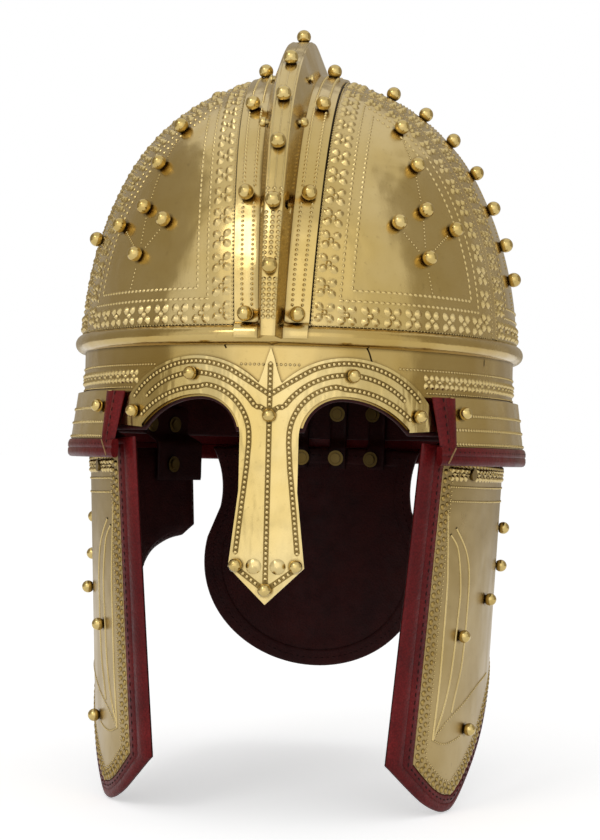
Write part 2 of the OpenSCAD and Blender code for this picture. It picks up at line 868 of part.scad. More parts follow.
module skirt_studs() {
    color(stud_brass)
        skirt_studs_at() ball_stud(small_stud_r, skirt_stud_depth);
}

// Cheek pieces
cheek_ratio = cheek_half_l / cheek_half_w;
cheek_top_edge = 6;
cheek_sweep_edge = 7.5;

// Smooth curve through points, with steps pieces between neighbours
function blend_point(a, b, c, d, t) =
    0.5 * (2 * b + (c - a) * t + (2 * a - 5 * b + 4 * c - d) * t * t + (3 * b - a - 3 * c + d) * t * t * t);
function curve(pts, steps) = let (n = len(pts))
    [for (i = [0:n - 2]) for (k = [0:steps - 1])
        blend_point(pts[max(0, i - 1)], pts[i], pts[i + 1], pts[min(n - 1, i + 2)], k / steps)];
function part_of(list, from, to) = [for (i = [from:to]) list[i]];
// A cheek's outline: its first and last points are corners, the ones between them lie on a curve
sweep_end = len(cheek_points) - 4;
function rounded(pts) = concat(
    [pts[0]], curve(part_of(pts, 1, sweep_end), 2), part_of(pts, sweep_end, len(pts) - 1)
);
// Width of the rolled edge along the side of the outline that starts at point i
function edge_width(i) = i == 0 ? cheek_front_edge
    : i == len(cheek_points) - 1 ? cheek_top_edge
    : i < 6 ? cheek_sweep_edge
    : cheek_rear_edge;
// The outline's points moved inwards by each side's own edge width and a bit more
function inset_points(more) = let (o = cheek_points, n = len(o))
    [for (i = [0:n - 1])
        let (
            u = unit(o[i] - o[(i + n - 1) % n]), v = unit(o[(i + 1) % n] - o[i]),
            nu = [-u[1], u[0]], nv = [-v[1], v[0]], c = nu * nv,
            du = edge_width((i + n - 1) % n) + more, dv = edge_width(i) + more
        )
        o[i] + (c > 0.9 ? (du + dv) / 2 * (nu + nv) / (1 + c)
            : ((du - c * dv) * nu + (dv - c * du) * nv) / (1 - c * c))];

// Oval wall between two radii, drawn round
module round_wall(r_in, r_out) {
    translate([0, 0, -far])
        difference() {
            cylinder(r = r_out, h = far, $fn = oval_fn);
            translate([0, 0, -1]) cylinder(r = r_in, h = far + 2, $fn = oval_fn);
        }
}

// Flat shape of [y, z] pushed out through the wearer's left side
module through_left(pts) {
    rotate([90, 0, 90])
        linear_extrude(height = far)
            polygon([for (p = pts) [p[0] / cheek_ratio, p[1]]]);
}

module hang_cheek() {
    translate([cheek_hinge_x, 0, cheek_hinge_z])
        rotate([0, cheek_lean, 0])
            translate([-cheek_hinge_x, 0, -cheek_hinge_z])
                children();
}

// Children stand on an oval wall of radius r, on the left at y or behind at x
module stand_on_side(y, z, r, ratio) {
    p = [oval_x(y, r, ratio), y, z];
    stand(p, unit([p[0], y / pow(ratio, 2), 0])) children();
}

module stand_on_back(x, z, r, ratio) {
    p = [x, oval_y(x, r, ratio), z];
    stand(p, unit([x, p[1] / pow(ratio, 2), 0])) children();
}

cheek_grip = cheek_brass_t + 0.05 + cheek_leather_t + 0.2;

module cheek_studs_at_places() {
    for (s = cheek_studs_at)
        stand_on_side(s[0], s[1], cheek_half_w + cheek_stud_seat, cheek_ratio) children();
}

module cheek_rivets_at() {
    for (y = [front_strap_y, rear_strap_y])
        stand_on_side(y, cheek_rivet_z, cheek_half_w + rivet_seat, cheek_ratio) children();
}

module cheek_holes() {
    cheek_studs_at_places() shank_hole(cheek_grip, cheek_stud_play);
    cheek_rivets_at() shank_hole(cheek_grip + 3);
}

module cheek_leather() {
    color(leather)
        hang_cheek()
            difference() {
                scale([1, cheek_ratio, 1])
                    difference() {
                        intersection() {
                            round_wall(cheek_rim_in, cheek_rim_out);
                            through_left(rounded(cheek_points));
                        }
                        intersection() {
                            round_wall(cheek_in + cheek_leather_t, cheek_rim_out + beyond);
                            through_left(rounded(inset_points(0)));
                        }
                        intersection() {
                            round_wall(cheek_rim_in - beyond, cheek_in);
                            through_left(rounded(inset_points(0)));
                        }
                    }
                cheek_holes();
            }
}

module cheek_plate() {
    color(brass)
        hang_cheek()
            difference() {
                scale([1, cheek_ratio, 1])
                    intersection() {
                        round_wall(cheek_half_w - cheek_brass_t, cheek_half_w);
                        through_left(rounded(inset_points(lay_gap)));
                    }
                cheek_holes();
            }
}

module cheek_studs() {
    color(stud_brass)
        hang_cheek()
            cheek_studs_at_places() ball_stud(small_stud_r, cheek_grip);
}

module cheek_leather_left() {
    cheek_leather();
}

module cheek_leather_right() {
    mirror([1, 0, 0]) cheek_leather();
}

module cheek_plate_left() {
    cheek_plate();
}

module cheek_plate_right() {
    mirror([1, 0, 0]) cheek_plate();
}

module cheek_studs_left() {
    cheek_studs();
}

module cheek_studs_right() {
    mirror([1, 0, 0]) cheek_studs();
}

// Straps
washer_r = 4.2;
washer_t = 0.6;
rivet_head_r = 2.6;
strap_top_z = -27;
strap_out = liner_out - liner_t - lay_gap;
strap_in = strap_out - strap_t;
cheek_strap_out = cheek_rim_in - 0.3;
cheek_strap_low = -65;
bend_z = -liner_low - 0.2;
bend_drop = 3.2;
neck_strap_rivet_z = -27;
side_rivet_ys = [for (y = [front_strap_y, rear_strap_y]) for (step = [-8, 8]) y + step];

// Rivet through sheets of this depth, with a washer under its inner end and a flat head on the outer face
module strap_rivet(depth, head_t) {
    inner = depth + 0.15 + washer_t;
    translate([0, 0, -inner - 0.9]) cylinder(r = rivet_head_r, h = 0.8);
    translate([0, 0, -inner - 0.2]) cylinder(r = shank_r, h = inner + 0.2);
    if (head_t > 0)
        cylinder(r = rivet_head_r, h = head_t);
    translate([0, 0, -inner])
        difference() {
            cylinder(r = washer_r, h = washer_t);
            translate([0, 0, -1]) cylinder(r = shank_r + shank_play, h = washer_t + 2);
        }
}

// Profile of a strap as [radius, z]: down along the lining, then inwards and down behind the hanging piece
function strap_profile(top, low, low_r) =
    let (rise = strap_t * tan(atan2(strap_out - low_r, bend_drop) / 2)) [
        [strap_in, top], [strap_out, top], [strap_out, bend_z], [low_r, bend_z - bend_drop],
        [low_r, low], [low_r - strap_t, low], [low_r - strap_t, bend_z - bend_drop + rise],
        [strap_in, bend_z + rise]
    ];

module cheek_straps() {
    color(dark_leather)
        difference() {
            stretched()
                for (y = [front_strap_y, rear_strap_y])
                    intersection() {
                        rotate_extrude($fn = oval_fn)
                            polygon(strap_profile(strap_top_z, cheek_strap_low, cheek_strap_out));
                        translate([0, (y - cheek_strap_w / 2) / stretch, -far])
                            cube([far, cheek_strap_w / stretch, 2 * far]);
                    }
            side_strap_rivets_at() shank_hole(rivet_hole);
            hang_cheek() cheek_rivets_at() shank_hole(rivet_hole);
        }
}

rivet_hole = 12;

module side_strap_rivets_at() {
    for (y = side_rivet_ys)
        stand_on_side(y, strap_rivet_z, band_r, stretch) children();
}

module left_strap_rivets_at() {
    side_strap_rivets_at() children();
    for (x = neck_strap_xs)
        if (x > 0)
            stand_on_back(x, neck_strap_rivet_z, band_r, stretch) children();
}

module strap_rivets_at() {
    both_sides() left_strap_rivets_at() children();
}

// Depth from the band's outer face to a strap's inner face, at y on a side or at x behind
function side_depth(y) = let (x = oval_x(y, band_r, stretch))
    (x - oval_x(y, strap_in, stretch)) * x / norm([x, y / pow(stretch, 2)]);
function back_depth(x) = let (y = oval_y(x, band_r, stretch) / pow(stretch, 2))
    (oval_y(x, band_r, stretch) - oval_y(x, strap_in, stretch)) * y / norm([x, y]);

module strap_rivets() {
    color(stud_brass) {
        both_sides()
            for (y = side_rivet_ys)
                stand_on_side(y, strap_rivet_z, band_r, stretch) strap_rivet(side_depth(y), 0);
        for (x = neck_strap_xs)
            stand_on_back(x, neck_strap_rivet_z, band_r, stretch) strap_rivet(back_depth(x), 0);
    }
}

// Depth from a cheek's outer face to the inner face of the strap behind it
function cheek_depth(y) = let (x = oval_x(y, cheek_half_w, cheek_ratio))
    (x - oval_x(y, cheek_strap_out - strap_t, stretch)) * x / norm([x, y / pow(cheek_ratio, 2)]);

module cheek_rivets() {
    color(stud_brass)
        hang_cheek()
            for (y = [front_strap_y, rear_strap_y])
                stand_on_side(y, cheek_rivet_z, cheek_half_w + rivet_seat, cheek_ratio)
                    strap_rivet(cheek_depth(y), 1);
}

module cheek_straps_left() {
    cheek_straps();
}

module cheek_straps_right() {
    mirror([1, 0, 0]) cheek_straps();
}

module cheek_rivets_left() {
    cheek_rivets();
}

module cheek_rivets_right() {
    mirror([1, 0, 0]) cheek_rivets();
}

// Neck guard
neck_out = neck_in + neck_leather_t;
neck_waist_r = 52.6;
neck_rim_in = neck_in - 0.6;
neck_face_r = neck_out + neck_brass_t + 0.45;

// Flat outline of [x, z]: a round lower part, a straight top and a hollow waist on each side
module neck_shape(inset) {
    mid = -neck_low + neck_r;
    difference() {
        union() {
            translate([0, mid]) circle(neck_r - inset, $fn = oval_fn);
            translate([-neck_top_w + inset, mid])
                square([2 * (neck_top_w - inset), -neck_top - inset - mid]);
        }
        for (side = [-1, 1])
            translate([side * (neck_waist_w + neck_waist_r), -neck_waist_z])
                circle(neck_waist_r + inset, $fn = oval_fn);
    }
}

module through_back() {
    rotate([90, 0, 180]) linear_extrude(height = far) children();
}

module hang_neck() {
    translate([0, neck_hinge_y, neck_hinge_z])
        rotate([neck_lean, 0, 0])
            translate([0, -neck_hinge_y, -neck_hinge_z])
                children();
}

module neck_rivets_at() {
    for (x = neck_strap_xs)
        stand_on_back(x, neck_rivet_z, neck_face_r, neck_ratio) children();
}

module neck_leather() {
    color(leather)
        hang_neck()
            difference() {
                scale([1, neck_ratio, 1])
                    difference() {
                        intersection() {
                            round_wall(neck_rim_in, neck_face_r - 0.05);
                            through_back() neck_shape(0);
                        }
                        intersection() {
                            round_wall(neck_out, neck_out + neck_brass_t + beyond);
                            through_back() neck_shape(neck_edge);
                        }
                        intersection() {
                            round_wall(neck_in - beyond, neck_in);
                            through_back() neck_shape(neck_edge);
                        }
                    }
                neck_rivets_at() shank_hole(rivet_hole);
            }
}

module neck_plate() {
    color(brass)
        hang_neck()
            difference() {
                scale([1, neck_ratio, 1])
                    intersection() {
                        round_wall(neck_out + 0.05, neck_out + 0.05 + neck_brass_t);
                        through_back() neck_shape(neck_edge + lay_gap);
                    }
                neck_rivets_at() shank_hole(rivet_hole);
            }
}

neck_strap_out = neck_rim_in * neck_ratio / stretch - 0.25;
neck_strap_top = -20;
neck_strap_low = -57;

module neck_straps() {
    color(dark_leather)
        difference() {
            stretched()
                for (x = neck_strap_xs)
                    intersection() {
                        rotate_extrude($fn = oval_fn)
                            polygon(strap_profile(neck_strap_top, neck_strap_low, neck_strap_out));
                        translate([x - neck_strap_w / 2, 0, -far]) cube([neck_strap_w, far, 2 * far]);
                    }
            strap_rivets_at() shank_hole(rivet_hole);
            hang_neck() neck_rivets_at() shank_hole(rivet_hole);
        }
}

neck_lean_room = 0.75;
// Depth from the neck guard's outer face to the inner face of the strap behind it, with room for its lean
function neck_depth(x) = let (y = oval_y(x, neck_face_r, neck_ratio), q = y / pow(neck_ratio, 2))
    (y - oval_y(x, neck_strap_out - strap_t, stretch) + neck_lean_room) * q / norm([x, q]);

module neck_rivets() {
    color(stud_brass)
        hang_neck()
            for (x = neck_strap_xs)
                stand_on_back(x, neck_rivet_z, neck_face_r, neck_ratio) strap_rivet(neck_depth(x), 0.8);
}

lining_band();
front_plate_left();
front_plate_right();
side_plate_left();
side_plate_right();
rear_plate_left();
rear_plate_right();
ridge();
ridge_pins();
ridge_studs();
flange_studs();
front_studs_left();
front_studs_right();
side_studs_left();
side_studs_right();
rear_studs_left();
rear_studs_right();
rim_roll();
brow_band();
nasal_guard();
nasal_studs();
skirt_band();
skirt_leather();
skirt_studs();
strap_rivets();
cheek_leather_left();
cheek_leather_right();
cheek_plate_left();
cheek_plate_right();
cheek_studs_left();
cheek_studs_right();
cheek_rivets_left();
cheek_rivets_right();
cheek_straps_left();
cheek_straps_right();
neck_leather();
neck_plate();
neck_rivets();
neck_straps();
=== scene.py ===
from math import acos, asin, atan2, cos, hypot, pi, radians, sin, sqrt

import bmesh
import bpy
from mathutils import Matrix, Vector
from mathutils.geometry import delaunay_2d_cdt


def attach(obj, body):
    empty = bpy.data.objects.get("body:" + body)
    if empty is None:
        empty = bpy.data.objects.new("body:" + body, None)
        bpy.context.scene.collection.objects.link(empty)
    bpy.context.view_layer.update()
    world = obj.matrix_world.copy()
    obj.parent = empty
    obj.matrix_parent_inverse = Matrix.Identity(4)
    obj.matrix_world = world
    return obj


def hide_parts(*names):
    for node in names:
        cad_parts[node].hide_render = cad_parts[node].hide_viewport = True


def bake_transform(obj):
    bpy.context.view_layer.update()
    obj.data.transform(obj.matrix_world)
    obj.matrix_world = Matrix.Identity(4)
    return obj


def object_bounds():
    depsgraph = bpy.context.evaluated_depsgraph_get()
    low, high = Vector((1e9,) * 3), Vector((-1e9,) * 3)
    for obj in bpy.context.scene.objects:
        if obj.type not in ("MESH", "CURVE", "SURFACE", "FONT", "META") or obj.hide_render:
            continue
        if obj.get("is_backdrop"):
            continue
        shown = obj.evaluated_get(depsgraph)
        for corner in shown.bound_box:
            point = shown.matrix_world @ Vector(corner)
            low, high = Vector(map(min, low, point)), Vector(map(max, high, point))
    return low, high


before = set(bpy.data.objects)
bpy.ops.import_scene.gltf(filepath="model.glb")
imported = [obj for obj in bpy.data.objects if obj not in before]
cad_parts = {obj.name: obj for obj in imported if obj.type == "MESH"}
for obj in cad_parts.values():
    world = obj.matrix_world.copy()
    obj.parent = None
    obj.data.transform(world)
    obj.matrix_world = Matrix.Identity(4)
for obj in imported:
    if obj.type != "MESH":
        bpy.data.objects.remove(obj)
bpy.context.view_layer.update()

# All shapes are worked out in millimetres and written to the meshes in metres.
MM = 0.001
HANDS = ((1, "left"), (-1, "right"))

# Bowl: an oval dome of two arcs, the flank and the crown, which meet at the angle JOIN
STRETCH = 1.2
BOWL_W = 105
BOWL_H = 132.5
CROWN_R = 96.7
CROWN_Z = BOWL_H - CROWN_R
FLANK_R = (BOWL_W ** 2 + CROWN_Z ** 2 - CROWN_R ** 2) / (2 * (BOWL_W - CROWN_R))
FLANK_X = BOWL_W - FLANK_R
JOIN = atan2(CROWN_Z, -FLANK_X)
SEAM_Y = 54.5
SEAM_LEAN = 0.05


# Surfaces, where a spot is a point and the normal there

def bowl_r(z):
    """Half width of the bowl at a height."""
    if z < 0:
        return BOWL_W
    if z < FLANK_R * sin(JOIN):
        return FLANK_X + sqrt(FLANK_R ** 2 - z * z)
    return sqrt(max(0, CROWN_R ** 2 - (z - CROWN_Z) ** 2))


def bowl_a(z):
    """Angle of the bowl's arc at a height, from level at the rim to upright on top."""
    if z < 0:
        return 0
    if z < FLANK_R * sin(JOIN):
        return asin(z / FLANK_R)
    return asin(min(1, (z - CROWN_Z) / CROWN_R))


def bowl_spot(p, lift=0):
    a, r = bowl_a(p.z), max(1e-6, bowl_r(p.z))
    n = Vector((p.x / r * cos(a), p.y / STRETCH / r * cos(a) / STRETCH, sin(a))).normalized()
    return p + n * lift, n


def bowl_xz(x, z, side, lift=0):
    y = side * STRETCH * sqrt(max(0, bowl_r(z) ** 2 - x * x))
    return bowl_spot(Vector((x, y, z)), lift)


def bowl_yz(y, z):
    return bowl_spot(Vector((sqrt(max(0, bowl_r(z) ** 2 - (y / STRETCH) ** 2)), y, z)))


def bowl_xy(x, y):
    q = hypot(x, y / STRETCH)
    if q < CROWN_R * cos(JOIN):
        return bowl_spot(Vector((x, y, CROWN_Z + sqrt(CROWN_R ** 2 - q * q))))
    return bowl_spot(Vector((x, y, sqrt(max(0, FLANK_R ** 2 - (q - FLANK_X) ** 2)))))


def wall_n(p, ratio):
    return Vector((p.x, p.y / ratio ** 2, 0)).normalized()


def wall_xz(x, z, r, side, ratio=STRETCH):
    p = Vector((x, side * ratio * sqrt(max(0, r * r - x * x)), z))
    return p, wall_n(p, ratio)


def wall_yz(y, z, r, hand, ratio=STRETCH):
    p = Vector((hand * sqrt(max(0, r * r - (y / ratio) ** 2)), y, z))
    return p, wall_n(p, ratio)


def wall_t(t, z, r):
    p = Vector((r * cos(t), STRETCH * r * sin(t), z))
    return p, wall_n(p, STRETCH)


def wall_loop(z, r, count=240):
    return [wall_t(2 * pi * k / count, z, r) for k in range(count)]


def back_angles(front_y, r, count):
    """Angles on an oval of half width r, from its place at front_y round the back."""
    a = asin(front_y / STRETCH / r)
    return steps(a, pi - a, count)


def hand_point(p, hand):
    return Vector((hand * p.x, p.y, p.z))


def placed(spots, hand):
    """Spots of the left side, or their mirror image on the right."""
    return [(hand_point(p, hand), hand_point(n, hand)) for p, n in spots]


def steps(a, b, count):
    return [a + (b - a) * k / count for k in range(count + 1)]


# Lines and meshes

def walk(spots, pitch, closed=False):
    """Points at even steps along a line of spots, each with its normal and direction."""
    if closed:
        spots = spots + spots[:1]
    far = [0]
    for a, b in zip(spots, spots[1:]):
        far.append(far[-1] + (b[0] - a[0]).length)
    count = max(1, round(far[-1] / pitch))
    out, i = [], 0
    for k in range(count if closed else count + 1):
        s = far[-1] * k / count
        while i < len(far) - 2 and far[i + 1] < s:
            i += 1
        d = far[i + 1] - far[i]
        t = (s - far[i]) / d if d > 1e-9 else 0
        a, b = spots[i], spots[i + 1]
        way = (b[0] - a[0]).normalized() if d > 1e-9 else Vector((0, 0, 1))
        out.append((a[0].lerp(b[0], t), a[1].lerp(b[1], t).normalized(), way))
    return out


def smooth_run(points, fine=8):
    """Points on a curve that passes through the given ones."""
    pts, out = [Vector(p) for p in points], []
    for i in range(len(pts) - 1):
        a, b, c, d = pts[max(0, i - 1)], pts[i], pts[i + 1], pts[min(len(pts) - 1, i + 2)]
        for k in range(fine):
            t = k / fine
            out.append(0.5 * (2 * b + (c - a) * t + (2 * a - 5 * b + 4 * c - d) * t * t
                              + (3 * b - a - 3 * c + d) * t ** 3))
    return out + [pts[-1]]


def matched(outer, inner, gap):
    """Two outlines of matching points, their long sides divided alike."""
    a_out, b_out = [], []
    for i in range(len(outer)):
        after = (i + 1) % len(outer)
        parts = max(1, int((outer[after] - outer[i]).length / gap))
        a_out += [outer[i].lerp(outer[after], k / parts) for k in range(parts)]
        b_out += [inner[i].lerp(inner[after], k / parts) for k in range(parts)]
    return a_out, b_out


def inside(outline, u, v):
    hit = False
    for (a, b), (c, d) in zip(outline, outline[1:] + outline[:1]):
        if (b > v) != (d > v) and u < (c - a) * (v - b) / (d - b) + a:
            hit = not hit
    return hit


def new_object(name, data):
    obj = bpy.data.objects.new(name, data)
    bpy.context.scene.collection.objects.link(obj)
    return obj


class Shape:
    """Points and faces of one piece, whose rows keep a reach away from the points in clear."""

    # Outline of a bead as (share of its radius, share of its height), crisp or melting into the sheet
    ROUND = ((1, -0.16), (0.92, 0.36), (0.62, 0.8))
    SOFT = ((1.22, -0.1), (0.95, 0.14), (0.66, 0.52), (0.33, 0.88))
    SIDES = 10
    NET = 5
    BED_PITCH = 1.6
    STITCH_R, STITCH_PITCH, STITCH_LONG = 0.42, 3.4, 2.4

    def __init__(self, clear=()):
        self.points, self.faces = [], []
        self.clear = clear

    def free_steps(self, spots, pitch, closed):
        """Even steps along a line, without those too near to a point in clear."""
        return [s for s in walk(spots, pitch, closed)
                if all((s[0] - c).length > reach for c, reach in self.clear)]

    def bead(self, spot, r, tall=0.8, long=1, cap=ROUND):
        p, n, way = spot
        across = n.cross(way).normalized()
        way = across.cross(n)
        turns, rows = [2 * pi * k / self.SIDES for k in range(self.SIDES)], []
        for share, up in cap:
            level = [way * (share * r * long * cos(a)) + across * (share * r * sin(a)) for a in turns]
            rows.append([p + n * (up * tall * r) + q for q in level])
        self.grid(rows)
        top = len(self.points)
        self.points.append(p + n * (tall * r))
        low = top - self.SIDES
        self.faces += [(low + k, low + (k + 1) % self.SIDES, top) for k in range(self.SIDES)]

    def row(self, spots, r, pitch, tall=0.8, long=1, closed=False, cap=ROUND):
        for spot in self.free_steps(spots, pitch, closed):
            self.bead(spot, r, tall, long, cap)

    def stitches(self, spots, tall=0.7, closed=False):
        self.row(spots, self.STITCH_R, self.STITCH_PITCH, tall, self.STITCH_LONG, closed)

    def rosette(self, spot, size):
        """Petals round a middle; size is their distance out, their radius and the middle's."""
        reach, r, middle = size
        p, n, way = spot
        across = n.cross(way).normalized()
        for i in (-1, 1):
            for j in (-1, 1):
                petal = (p + way * (i * reach) + across * (j * reach), n, (way * i + across * j).normalized())
                self.bead(petal, r, 0.72, 1.15, self.SOFT)
        self.bead(spot, middle, 0.85, 1, self.SOFT)

    def rosettes(self, spots, pitch, size, closed=False):
        for spot in self.free_steps(spots, pitch, closed):
            self.rosette(spot, size)

    def line(self, spots, width, tall, pitch=2):
        """Raised half-round line."""
        rows = []
        for p, n, way in walk(spots, pitch):
            across = n.cross(way).normalized()
            rows.append([p + across * (width / 2 * cos(a)) + n * (tall * sin(a) - 0.05)
                         for a in steps(0, pi, 6)])
        self.grid(rows, closed_line=False)

    def bed(self, spots, width, lift=0.03):
        """Thin darker strip on a sheet."""
        rows = []
        for p, n, way in walk(spots, self.BED_PITCH):
            across = n.cross(way).normalized() * (width / 2)
            rows.append([p - across + n * lift, p + across + n * lift])
        self.grid(rows, closed_line=False)

    def grid(self, rows, closed_rows=False, closed_line=True, caps=False):
        """Faces between rows of as many points each."""
        base, w = len(self.points), len(rows[0])
        for line in rows:
            self.points.extend(line)
        for i in range(len(rows) if closed_rows else len(rows) - 1):
            for k in range(w if closed_line else w - 1):
                a, c = base + i * w, base + ((i + 1) % len(rows)) * w
                self.faces.append((a + k, a + (k + 1) % w, c + (k + 1) % w, c + k))
        if caps:
            self.faces.append(tuple(base + k for k in range(w)))
            self.faces.append(tuple(base + (len(rows) - 1) * w + k for k in reversed(range(w))))

    def fill(self, outline, place):
        """Flat outline filled with a fine net and laid on a surface by place(u, v)."""
        us, vs = zip(*outline)
        inner = []
        u = min(us) + self.NET / 2
        while u < max(us):
            v = min(vs) + self.NET / 2
            while v < max(vs):
                if inside(outline, u, v) and min(hypot(u - a, v - b) for a, b in outline) > self.NET * 0.45:
                    inner.append((u, v))
                v += self.NET
            u += self.NET
        rim = [(i, (i + 1) % len(outline)) for i in range(len(outline))]
        made = delaunay_2d_cdt([Vector(p) for p in outline + inner], rim, [], 1, 1e-5)
        base = len(self.points)
        self.points.extend(place(p[0], p[1]) for p in made[0])
        self.faces.extend(tuple(base + i for i in f) for f in made[2])

    def build(self, name, look, sharp=None, weld=False):
        """Piece with a look, which is a material and its slot; the slot is not used."""
        mesh = bpy.data.meshes.new(name)
        mesh.from_pydata([p * MM for p in self.points], [], self.faces)
        mesh.update()
        if weld:
            bm = bmesh.new()
            bm.from_mesh(mesh)
            bmesh.ops.remove_doubles(bm, verts=bm.verts, dist=2e-5)
            bmesh.ops.recalc_face_normals(bm, faces=bm.faces)
            bm.to_mesh(mesh)
            bm.free()
        mesh.polygons.foreach_set("use_smooth", [True] * len(mesh.polygons))
        if sharp:
            mesh.set_sharp_from_angle(angle=radians(sharp))
        material, slot = look
        obj = new_object(name, mesh)
        mesh.materials.append(material)
        return obj


# Materials

def fresh_material(name):
    m = bpy.data.materials.new(name)
    m.use_nodes = True
    t = m.node_tree
    return m, t, t.nodes["Principled BSDF"], t.nodes.new("ShaderNodeTexCoord").outputs["Object"]


def set_inputs(t, n, values):
    """Sets each socket of a node to a value or links it to another node's output."""
    for socket, value in values.items():
        if isinstance(value, bpy.types.NodeSocket):
            t.links.new(value, n.inputs[socket])
        else:
            n.inputs[socket].default_value = value


def add_node(t, kind, values, **settings):
    n = t.nodes.new("ShaderNode" + kind)
    for word, value in settings.items():
        setattr(n, word, value)
    set_inputs(t, n, values)
    return n


def noise(t, place, scale, detail=3, rough=0.55, stretch=None):
    if stretch:
        place = add_node(t, "Mapping", {"Scale": stretch, "Vector": place}).outputs["Vector"]
    values = {"Scale": scale, "Detail": detail, "Roughness": rough, "Vector": place}
    return add_node(t, "TexNoise", values).outputs["Fac"]


def cells(t, place, scale, feature="F1", **smooth):
    values = {"Scale": scale, "Vector": place, **smooth}
    return add_node(t, "TexVoronoi", values, feature=feature).outputs["Distance"]


def spread(t, value, low, high, to_low=0, to_high=1):
    values = {"From Min": low, "From Max": high, "To Min": to_low, "To Max": to_high, "Value": value}
    return add_node(t, "MapRange", values).outputs["Result"]


def painted_crease_shade(t, reach, low, high, most):
    """Share of painted shade, from how closed in a place is; on brass it also stands for tarnish."""
    n = add_node(t, "AmbientOcclusion", {"Distance": reach}, samples=6)
    return spread(t, n.outputs["AO"], low, high, most, 0)


def blended(t, share, a, b):
    n = t.nodes.new("ShaderNodeMix")
    n.data_type = "RGBA"
    ins = [s for s in n.inputs if s.type == "RGBA"]
    for socket, colour in zip(ins, (a, b)):
        if isinstance(colour, tuple):
            socket.default_value = (*colour, 1)
        else:
            t.links.new(colour, socket)
    t.links.new(share, n.inputs["Factor"])
    return [s for s in n.outputs if s.type == "RGBA"][0]


def bumped(t, height, strength, distance, before=None):
    values = {"Strength": strength, "Distance": distance, "Height": height}
    if before is not None:
        values["Normal"] = before
    return add_node(t, "Bump", values).outputs["Normal"]


def shade(colour, share):
    return tuple(share * c for c in colour)


def brass_material(name, tone, warm, dark, rough, wave, ripple=0, tarnish_and_shade=0.75):
    """Polished brass: soft dents, fine scratches, warmer patches, and tarnish with painted shade in the
    creases.
    """
    m, t, shader, place = fresh_material(name)
    colour = blended(t, spread(t, noise(t, place, 22, 3), 0.38, 0.64), tone, warm)
    specks = spread(t, noise(t, place, 420, 4, 0.7), 0.6, 0.78)
    colour = blended(t, spread(t, specks, 0, 1, 0, 0.35), colour, dark)
    # Painted shade and tarnish: darker where the surface is closed in, from ambient occlusion
    colour = blended(t, painted_crease_shade(t, 0.0016, 0.45, 0.93, tarnish_and_shade), colour, dark)
    smear = spread(t, noise(t, place, 60, 4, 0.6, (1, 1, 0.35)), 0.3, 0.7, *rough)
    normal = bumped(t, noise(t, place, 38, 2, 0.45), wave, 0.0022)
    normal = bumped(t, noise(t, place, 700, 3, 0.6, (1, 1, 0.15)), 0.1, 0.0002, normal)
    if ripple:
        normal = bumped(t, noise(t, place, 150, 2, 0.5, (1, 1, 0.3)), ripple, 0.0016, normal)
    set_inputs(t, shader, {"Metallic": 1, "Base Color": colour, "Roughness": smear, "Normal": normal})
    return m


def leather_material(name, deep, bright, rough, grain):
    """Dyed leather: fine grain, darker pores, paler rubbed places and painted shade in its creases."""
    m, t, shader, place = fresh_material(name)
    colour = blended(t, spread(t, noise(t, place, 48, 4), 0.35, 0.68), deep, bright)
    pores = spread(t, cells(t, place, 1150), 0.25, 0.75, 0, 0.45)
    colour = blended(t, pores, colour, shade(deep, 0.35))
    # Painted shade: darker in creases and gaps, from ambient occlusion
    colour = blended(t, painted_crease_shade(t, 0.002, 0.4, 0.95, 0.8), colour, shade(deep, 0.25))
    rubs = spread(t, noise(t, place, 160, 4, 0.6), 0.3, 0.7, *rough)
    normal = bumped(t, cells(t, place, 900, "SMOOTH_F1", Smoothness=0.5), grain, 0.0003)
    normal = bumped(t, noise(t, place, 120, 3), 0.22, 0.0006, normal)
    set_inputs(t, shader, {"Specular IOR Level": 0.13, "Base Color": colour, "Roughness": rubs,
                           "Normal": normal})
    return m


# Each brass: tone, warmer tone, tarnish (also the colour of the painted shade in creases), range of
# roughness, depth of its dents, then ripple and share of tarnish and painted shade in creases
BRASSES = {
    "sheet": ((0.56, 0.425, 0.185), (0.5, 0.36, 0.125), (0.085, 0.05, 0.014), (0.14, 0.28), 0.8),
    "rim": ((0.49, 0.36, 0.14), (0.42, 0.285, 0.085), (0.08, 0.045, 0.012), (0.14, 0.28), 0.45),
    "guard": ((0.6, 0.47, 0.215), (0.53, 0.39, 0.14), (0.09, 0.048, 0.01), (0.14, 0.3), 0.6, 0.7),
    "dull": ((0.42, 0.315, 0.145), (0.35, 0.25, 0.095), (0.075, 0.045, 0.014), (0.26, 0.42), 0.4),
    "trim": ((0.6, 0.465, 0.215), (0.55, 0.41, 0.16), (0.06, 0.034, 0.01), (0.18, 0.32), 0.15, 0, 0.9),
    "dark": ((0.25, 0.17, 0.055), (0.17, 0.11, 0.03), (0.03, 0.018, 0.006), (0.35, 0.55), 0.2),
    # Near-black brass, for real cracks and for painted shadow lines
    "crack_and_shadow": ((0.035, 0.022, 0.008), (0.025, 0.014, 0.005), (0.01, 0.006, 0.003), (0.5, 0.7), 0.2),
    "border": ((0.4, 0.29, 0.1), (0.31, 0.205, 0.06), (0.05, 0.028, 0.009), (0.22, 0.4), 0.3, 0, 0.9),
    "ball": ((0.56, 0.425, 0.17), (0.47, 0.335, 0.11), (0.05, 0.028, 0.009), (0.1, 0.22), 0.12),
}
